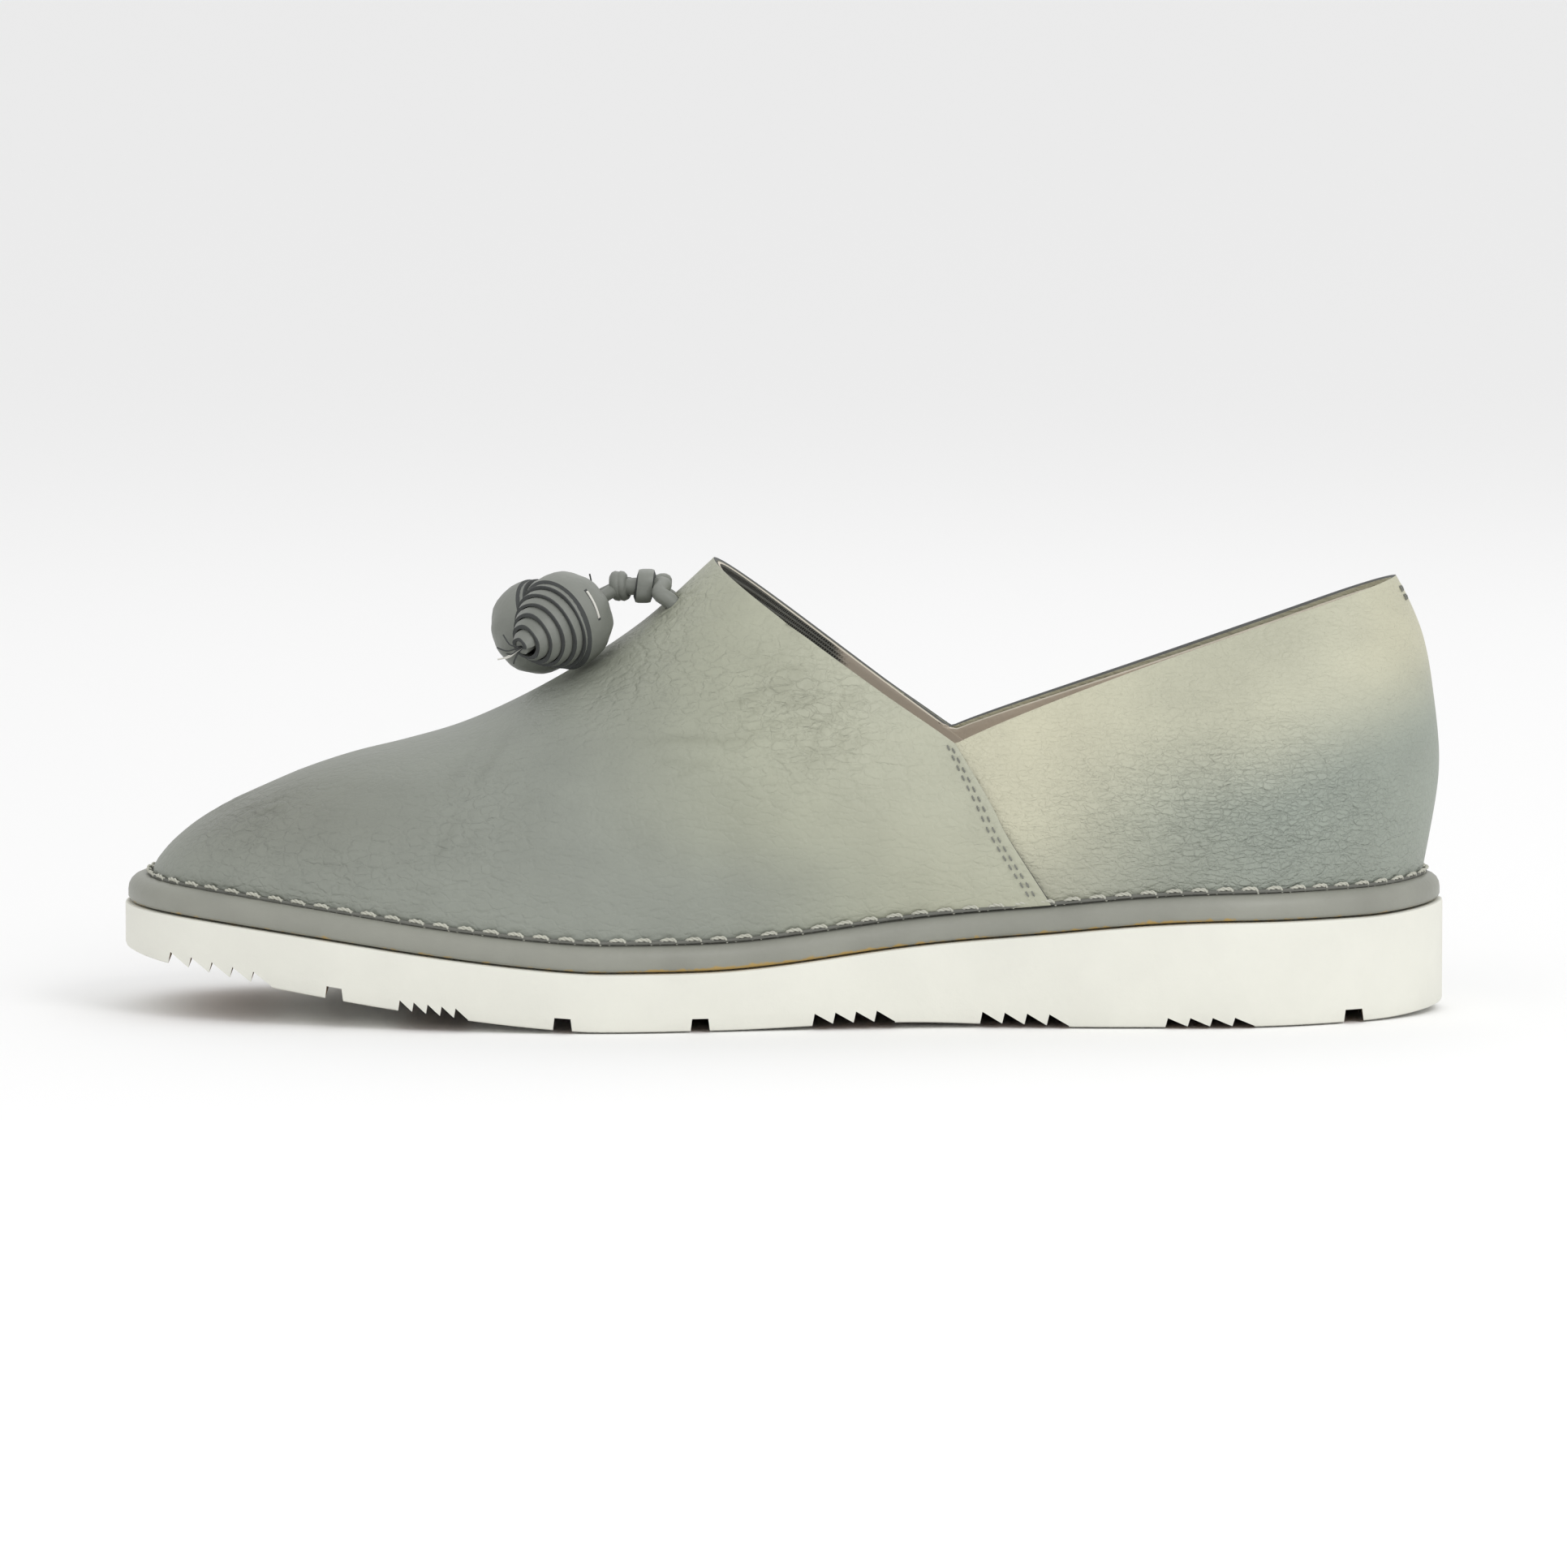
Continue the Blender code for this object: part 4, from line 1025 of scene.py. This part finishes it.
def twistedStrand(length, thick, material):
    # one stitch: two yarns twisted round each other, its ends dipping down
    pieces = []
    for phase in (0.0, math.pi):
        points = []
        for n in range(11):
            t = n / 10
            rise = thick * (1.0 - (2 * t - 1) ** 4 * 1.9)
            turn = phase + t * math.pi * 3.2
            off = 0.36 * thick
            points.append(Vector((length * (t - 0.5), off * math.cos(turn), rise + off * math.sin(turn))))
        pieces.append(addTube("yarn", points, 0.42 * thick, material, sides=1, smooth=1))
    return joinPieces(pieces, "stitch")


def layStitches(name, model, spots):
    # spots: (place, direction, up); each copy has its own mesh, then the row is joined
    copies = []
    for place, along, up in spots:
        copy = model.copy()
        copy.data = model.data.copy()
        bpy.context.scene.collection.objects.link(copy)
        across = up.cross(along).normalized()
        up = along.cross(across).normalized()
        for v in copy.data.vertices:
            v.co = place + along * v.co.x + across * v.co.y + up * v.co.z
        copies.append(copy)
    row = joinPieces(copies, name)
    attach(row, "root")
    return row


stitching = {"pitch": 0.0052, "length": 0.0036, "thick": 0.00056, "out": 0.00060, "up": 0.00030,
             "seamShadow": 0.00038, "seamPitch": 0.0021, "seamLength": 0.0014, "seamThick": 0.00028,
             "sunk": 0.00012, "insets": (0.0021, 0.0033)}
paleThread = makePlain("paleThread", (0.50, 0.50, 0.43), 0.7, scale=2500.0)
greyThread = makePlain("greyThread", (0.22, 0.225, 0.20), 0.7, scale=2500.0)
# painted shadow: dark leather colour for a thin tube that stands for the shade in the seam under the rand
# stitches
paintedSeamShadow = makePlain("paintedSeamShadow", (0.150, 0.152, 0.135), 0.9)


def footLine(steps=900):
    points = []
    for n in range(steps):
        place = 2 * stations * n / steps
        half = abs(place if place <= stations else 2 * stations - place)
        side = -1 if place <= stations else 1
        spot = place - side * sweepAt(half)
        points.append(featherLine(spot) + outward(spot) * stitching["out"])
    return points


def makeRandStitches():
    line = footLine()
    line.append(line[0])
    around = sum((b - a).length for a, b in zip(line, line[1:]))
    count = round(around / stitching["pitch"])
    spots = []
    for place, i in evenSpots(line, [(n + 0.5) / count for n in range(count)]):
        along = (line[min(i + 2, len(line) - 1)] - line[max(i - 2, 0)]).normalized()
        along = (along + Vector((0, 0, random.uniform(-0.05, 0.05)))).normalized()
        out = Vector((along.y, -along.x, 0)).normalized()
        if out.dot(Vector((place.x * 0.5, place.y, 0))) < 0:
            out = -out
        lean = (out * 0.75 + Vector((0, 0, 1))).normalized()
        spots.append((place + Vector((0, 0, stitching["up"])), along, lean))
    model = twistedStrand(stitching["length"], stitching["thick"], paleThread)
    row = layStitches("randStitches", model, spots)
    bpy.data.objects.remove(model)
    # painted shadow: a dark tube along the foot line, under the stitches, stands for the shade in the seam
    # between upper and rand
    groove = [p + Vector((0, 0, 0.00010)) for p in line[::3]] + [line[0]]
    seamShadow = addTube("paintedStitchShadow", groove, stitching["seamShadow"], paintedSeamShadow, sides=1, smooth=1)
    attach(seamShadow, "root")


def makeSeamStitches():
    model = twistedStrand(stitching["seamLength"], stitching["seamThick"], greyThread)
    spots = []
    rows = upperGrid["vampRows"]
    for column, sign in ((0, 1), (vampLoft.shape[0] - 1, -1)):
        for inset in stitching["insets"]:
            line, ups = [], []
            for j in range(2, rows - 2):
                # walk from the cut edge along the row until the inset is reached
                spot, left, n = Vector(vampLoft[column, j]), inset, 1
                while True:
                    ahead = Vector(vampLoft[column + sign * n, j])
                    step = (ahead - spot).length
                    if step >= left:
                        line.append(spot.lerp(ahead, left / step))
                        ups.append(Vector(vampNormals[column + sign * n, j]))
                        break
                    spot, left, n = ahead, left - step, n + 1
            done = 0.0
            for k in range(1, len(line) - 1):
                done += (line[k] - line[k - 1]).length
                if done >= stitching["seamPitch"]:
                    done = 0.0
                    along = (line[k + 1] - line[k - 1]).normalized()
                    spots.append((line[k] - ups[k] * stitching["sunk"], along, ups[k]))
    # short rows beside the heel's middle, under the rim
    middle, top = quarterLoft.shape[0] // 2, quarterLoft.shape[1] - 1
    for column in (middle - 9, middle - 7, middle + 7, middle + 9):
        for row in (top - 3, top - 5):
            place = Vector(quarterLoft[column, row])
            down = (Vector(quarterLoft[column, row - 1]) - place).normalized()
            spots.append((place, down, Vector(quarterNormals[column, row])))
    row = layStitches("seamStitches", model, spots)
    bpy.data.objects.remove(model)


makeRandStitches()
makeSeamStitches()
print("stitches laid")


# Tassels: a leather cap over a strip wound in a spiral, on a cord through two holes of the vamp

tasselLook = {"radius": 0.0097, "length": 0.0240, "turns": 6.4, "thick": 0.0007, "ringShare": 0.56,
              "slitAt": 0.655, "core": 0.00165, "thread": 0.00017, "threads": 6, "neck": 0.0014}
# route of the cord through the wrap: share of its length behind the middle, distance from the middle, lift
cordLook = {"strand": 0.00168, "wrapTall": 0.0072, "knotTurn": 0.0019, "knotThick": 0.00125, "knotTurns": 2.1,
            "route": ((0.95, 0.0042, 0.0006), (0.5, 0.0022, 0.0002), (0.0, 0.0017, 0.0),
                      (-0.6, 0.0013, -0.0001))}
# along the tassel from its small end, and wide as a share of its radius
capProfile = ((0.50, 0.0), (0.50, 0.93), (0.525, 0.985), (0.53, 1.0), (0.57, 1.01), (0.62, 1.015),
              (0.68, 1.01), (0.74, 0.98), (0.80, 0.92), (0.86, 0.83), (0.91, 0.71), (0.95, 0.57),
              (0.98, 0.42), (1.0, 0.26), (1.005, 0.10), (1.006, 0.0))
tasselLeather = makePlain("tasselLeather", (0.205, 0.215, 0.192), 0.48, bump=0.00014, spread=(0.86, 1.1))
tasselEdge = makePlain("tasselCutEdge", (0.050, 0.054, 0.053), 0.7)
paleEdge = makePlain("paleSplit", (0.66, 0.65, 0.60), 0.75)
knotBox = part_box("cord_knot")
knotSpot = (knotBox[0] + knotBox[1]) / 2


def faceOutward(piece):
    work = bmesh.new()
    work.from_mesh(piece.data)
    bmesh.ops.recalc_face_normals(work, faces=work.faces)
    if work.calc_volume(signed=True) < 0:
        bmesh.ops.reverse_faces(work, faces=work.faces)
    work.to_mesh(piece.data)
    work.free()


def wrapGrid(name, columns, rows, spotAt, closedAcross, materials, darkRows=()):
    # a grid primitive rolled into a body of one seam; spotAt gives the point of each column and row
    sheet = addGrid(name, columns, rows)
    i, j = gridIndex(sheet, columns, rows)
    points = [[spotAt(c, r) for r in range(rows)] for c in range(columns)]
    for v, a, b in zip(sheet.data.vertices, i, j):
        v.co = points[a][b]
    for material in materials:
        sheet.data.materials.append(material)
    for face in sheet.data.polygons:
        if min(j[v] for v in face.vertices) in darkRows:
            face.material_index = 1
    mergePoints(sheet, 0.000003)
    if closedAcross:
        bpy.ops.mesh.select_all(action="DESELECT")
        bpy.ops.mesh.select_non_manifold()
        bpy.ops.mesh.edge_face_add()
    bpy.ops.object.mode_set(mode="OBJECT")
    faceOutward(sheet)
    bpy.ops.object.shade_smooth_by_angle(angle=math.radians(40))
    return sheet


def makeTassel(node, ringsOut, slitTurn):
    look = tasselLook
    co = np.array([v.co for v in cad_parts[node].data.vertices])
    axis = (Vector(co.mean(axis=0)) - knotSpot).normalized()
    far = ((co - np.array(knotSpot)) @ np.array(axis)).max()
    turnTo = axis.to_track_quat("Z", "Y")
    wideMost, long, thick = look["radius"], look["length"], look["thick"]
    start = far - long

    def place(along, radius, angle):
        # along counts from the small end
        level = far - along * long if ringsOut else start + along * long
        return knotSpot + turnTo @ Vector((radius * math.cos(angle), radius * math.sin(angle), level))

    def radiusAt(share):
        return wideMost * (0.17 + 0.80 * math.sin(min(max(share, 0.0), 1.15) * math.pi / 2))

    columns = int(look["turns"] * 40)
    pitch = look["ringShare"] / look["turns"]

    def bandSpot(column, row):
        angle = 2 * math.pi * look["turns"] * column / (columns - 1)
        share = column / (columns - 1)
        along = 0.02 + share * look["ringShare"]
        here, ahead = radiusAt(share), radiusAt(share + 1 / look["turns"])
        waver = 0.00012 * math.sin(angle * 2.3 + 1.0) + 0.00008 * math.sin(angle * 5.1)
        spots = ((along, here - thick), (along, here + waver),
                 (along + 0.12 * pitch, here + waver + 0.00006),
                 (along + 0.6 * pitch, (here + ahead) / 2 - 0.0001),
                 (along + 1.35 * pitch, ahead - 1.3 * thick), (along + 1.35 * pitch, ahead - 2.0 * thick),
                 (along, here - thick))
        return place(*spots[row], angle)

    band = wrapGrid(node + "Strip", columns, 7, bandSpot, True, [tasselLeather, tasselEdge], darkRows=(0, 1))

    def dentAt(angle, along):
        return 1 - 0.016 * math.sin(2 * angle + 0.8) - 0.008 * math.sin(3 * angle + along * 6)

    def capSpot(column, row):
        angle = 2 * math.pi * column / 72
        along, wide = capProfile[row]
        gather = max(0.0, along - 0.72) / 0.28
        fold = 1 - 0.022 * gather * (1 - gather) * 4 * math.cos(9 * angle + 0.6 * math.sin(2 * angle))
        slope = 0.035 * math.sin(angle - 0.6) * max(0.0, 1 - (along - 0.5) / 0.12) * min(wide, 1.0)
        return place(along + slope, wideMost * wide * fold * dentAt(angle, along), angle)

    cap = wrapGrid(node + "Cap", 73, len(capProfile), capSpot, False, [tasselLeather, tasselEdge],
                   darkRows=(0, 1, 2))
    pieces = [band, cap]
    # the slit through the cap, with the pale end of the strip showing in it
    for half, tall, lift, material in ((0.40, 0.060, 0.00006, tasselEdge), (0.34, 0.034, 0.00022, paleEdge)):
        def slitSpot(column, row, half=half, tall=tall, lift=lift):
            angle = slitTurn + half * (column / 10 - 1)
            along = look["slitAt"] + tall * (row / 4 - 0.5) + 0.02 * (column / 10 - 1)
            edge = min(row, 4 - row, column, 20 - column)
            return place(along, wideMost * 1.01 * dentAt(angle, along) + (lift if edge else -0.0003), angle)
        patch = wrapGrid("slit", 21, 5, slitSpot, False, [material])
        applyModifier(patch, "SOLIDIFY", thickness=0.0004, offset=-1)
        faceOutward(patch)
        pieces.append(patch)
    # rolled core and loose threads at the small end
    tip = place(0.03, 0.0, 0.0)
    away = (tip - place(0.5, 0.0, 0.0)).normalized()
    core = [tip - away * 0.0050, tip - away * 0.003, tip - away * 0.0007]
    pieces.append(addTube("core", core, look["core"], tasselLeather, sides=3))
    for n in range(look["threads"]):
        swing = Vector((random.uniform(-1, 0.2), random.uniform(-0.7, 0.7), random.uniform(-0.9, 0.9)))
        swing = swing.normalized()
        reach = random.uniform(0.0030, 0.0058)
        curl = [tip + away * (-0.0012), tip + away * 0.0006 + swing * 0.0009,
                tip + away * 0.35 * reach + swing * 0.45 * reach,
                tip + away * 0.42 * reach + swing * 0.85 * reach + Vector((0, 0, 0.0007))]
        yarn = paleEdge if n % 3 == 0 else tasselEdge
        pieces.append(addTube("thread", curl, look["thread"], yarn, sides=1, smooth=3))
    # short neck from the cap or the small end to the knot
    neckStart, neckEnd = 0.0015, start + (0.06 if ringsOut else 0.10) * long
    neck = [knotSpot + axis * (neckStart + (neckEnd - neckStart) * n / 4) for n in range(5)]
    pieces.append(addTube("neck", neck, look["neck"], tasselLeather, sides=3))
    tassel = joinPieces(pieces, node + "Piece")
    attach(tassel, "root")
    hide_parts(node)


def makeCordWork():
    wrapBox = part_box("cord_wrap")
    middle = (wrapBox[0] + wrapBox[1]) / 2
    size = wrapBox[1] - wrapBox[0]
    size.z = cordLook["wrapTall"]
    strands = []
    for side, (point, normal) in zip((1, -1), holes):
        # up through the hole, over to the wrap, and side by side to the knot
        route = [point - normal * 0.0035, point + normal * 0.0006,
                 point + normal * 0.0027 + Vector((-0.0008, -side * 0.0008, 0))]
        for back, apart, lift in cordLook["route"]:
            route.append(middle + Vector((size.x * back, side * apart, lift)))
        route.append(knotSpot + Vector((0.0006, side * 0.0006, 0)))
        strands.append(addTube("strand", route, cordLook["strand"], tasselLeather, sides=4))
    cordPiece = joinPieces(strands, "vampCordPiece")
    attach(cordPiece, "root")
    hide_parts("vamp_cord")

    def wrapSpot(column, row):
        # a strap bent round both strands, its profile a soft pillow
        angle = 2 * math.pi * column / 40
        share = row / 8 - 0.5
        puff = 1 - 0.16 * (2 * share) ** 4 - (0.22 if row in (0, 8) else 0.0)
        y, z = math.cos(angle), math.sin(angle)
        power = (abs(y) ** 3.2 + abs(z) ** 3.2) ** (-1 / 3.2)
        x = middle.x + size.x * share * (0.94 if row in (0, 8) else 1.0) + 0.0004 * math.sin(angle)
        return Vector((x, middle.y + 0.48 * size.y * y * power * puff,
                       middle.z + 0.48 * size.z * z * power * puff))

    strap = wrapGrid("cordWrapPiece", 41, 9, wrapSpot, True, [tasselLeather, tasselEdge], darkRows=(0, 7))
    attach(strap, "root")
    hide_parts("cord_wrap")
    turns = []
    for n in range(30):
        angle = 2 * math.pi * cordLook["knotTurns"] * n / 29
        forward = -0.0012 + 0.0024 * n / 29 + 0.0004 * math.cos(angle)
        around = cordLook["knotTurn"]
        turns.append(knotSpot + Vector((forward, around * math.cos(angle), around * math.sin(angle))))
    knot = addTube("cordKnotPiece", turns, cordLook["knotThick"], tasselLeather, sides=3, smooth=2)
    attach(knot, "root")
    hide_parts("cord_knot")


def makeInside(node, name, material, edge):
    # the board and the sock on it: a merged copy of the node, its rims rounded
    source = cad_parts[node]
    piece = source.copy()
    piece.data = source.data.copy()
    piece.data.materials.clear()
    piece.data.materials.append(material)
    bpy.context.scene.collection.objects.link(piece)
    piece.name = name
    workOn(piece)
    mergePoints(piece, 0.00001)
    bpy.ops.object.mode_set(mode="OBJECT")
    applyModifier(piece, "BEVEL", width=edge, segments=3, limit_method="ANGLE", angle_limit=math.radians(50))
    for face in piece.data.polygons:
        face.material_index = 0
    bpy.ops.object.shade_smooth_by_angle(angle=math.radians(40))
    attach(piece, "root")
    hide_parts(node)


makeInside("insole", "insoleBoard", boardGrey, 0.0003)
makeInside("footbed", "sockFootbed", sockCalf, 0.0005)
makeTassel("tassel_lateral", True, 0.42)
makeTassel("tassel_medial", False, 2.2)
makeCordWork()
print("tassels and cord made")


# Floor, light and camera

# lamps: place, size, power
stageLook = {"floor": (0.96, 0.96, 0.96), "world": 0.86, "aim": (0, 0, 0.04),
             "lamps": {"key": ((0.62, -0.80, 0.85), 0.6, 4.2), "fill": ((-0.8, -0.9, 0.45), 1.1, 0.7),
                       "back": ((0.2, 0.8, 0.9), 0.8, 1.0)}}
cameraLook = {"target": (0.0, 0.0, 0.046), "elevation": 6.0, "distance": 2.6, "widthSeen": 0.324,
              "sensor": 36}


def makeStage():
    bpy.ops.object.select_all(action="DESELECT")
    bpy.ops.mesh.primitive_plane_add(size=40, location=(0, 0, -0.0003))
    floor = bpy.context.object
    floor.name = "floor"
    paper = {"Base Color": (*stageLook["floor"], 1.0), "Roughness": 0.9}
    floor.data.materials.append(makeMaterial("paleFloor", paper)[0])
    world = bpy.data.worlds.new("paleRoom")
    world.use_nodes = True
    background = world.node_tree.nodes["Background"].inputs
    background["Color"].default_value = (1.0, 1.0, 1.0, 1.0)
    background["Strength"].default_value = stageLook["world"]
    bpy.context.scene.world = world
    for name, (spot, size, power) in stageLook["lamps"].items():
        bpy.ops.object.light_add(type="AREA", location=spot)
        lamp = bpy.context.object
        lamp.name = name
        lamp.data.size = size
        lamp.data.energy = power
        lamp.rotation_euler = (Vector(stageLook["aim"]) - Vector(spot)).to_track_quat("-Z", "Y").to_euler()


def makeCamera():
    look = cameraLook
    turn = math.radians(look["elevation"])
    target = Vector(look["target"])
    back = Vector((0, -math.cos(turn), math.sin(turn))) * look["distance"]
    bpy.ops.object.camera_add(location=target + back)
    camera = bpy.context.object
    camera.rotation_euler = (target - camera.location).to_track_quat("-Z", "Y").to_euler()
    camera.data.sensor_width = look["sensor"]
    camera.data.lens = look["sensor"] * look["distance"] / look["widthSeen"]
    camera.data.clip_end = 20
    bpy.context.scene.camera = camera


makeStage()
makeCamera()
bpy.context.scene.view_settings.view_transform = "Standard"
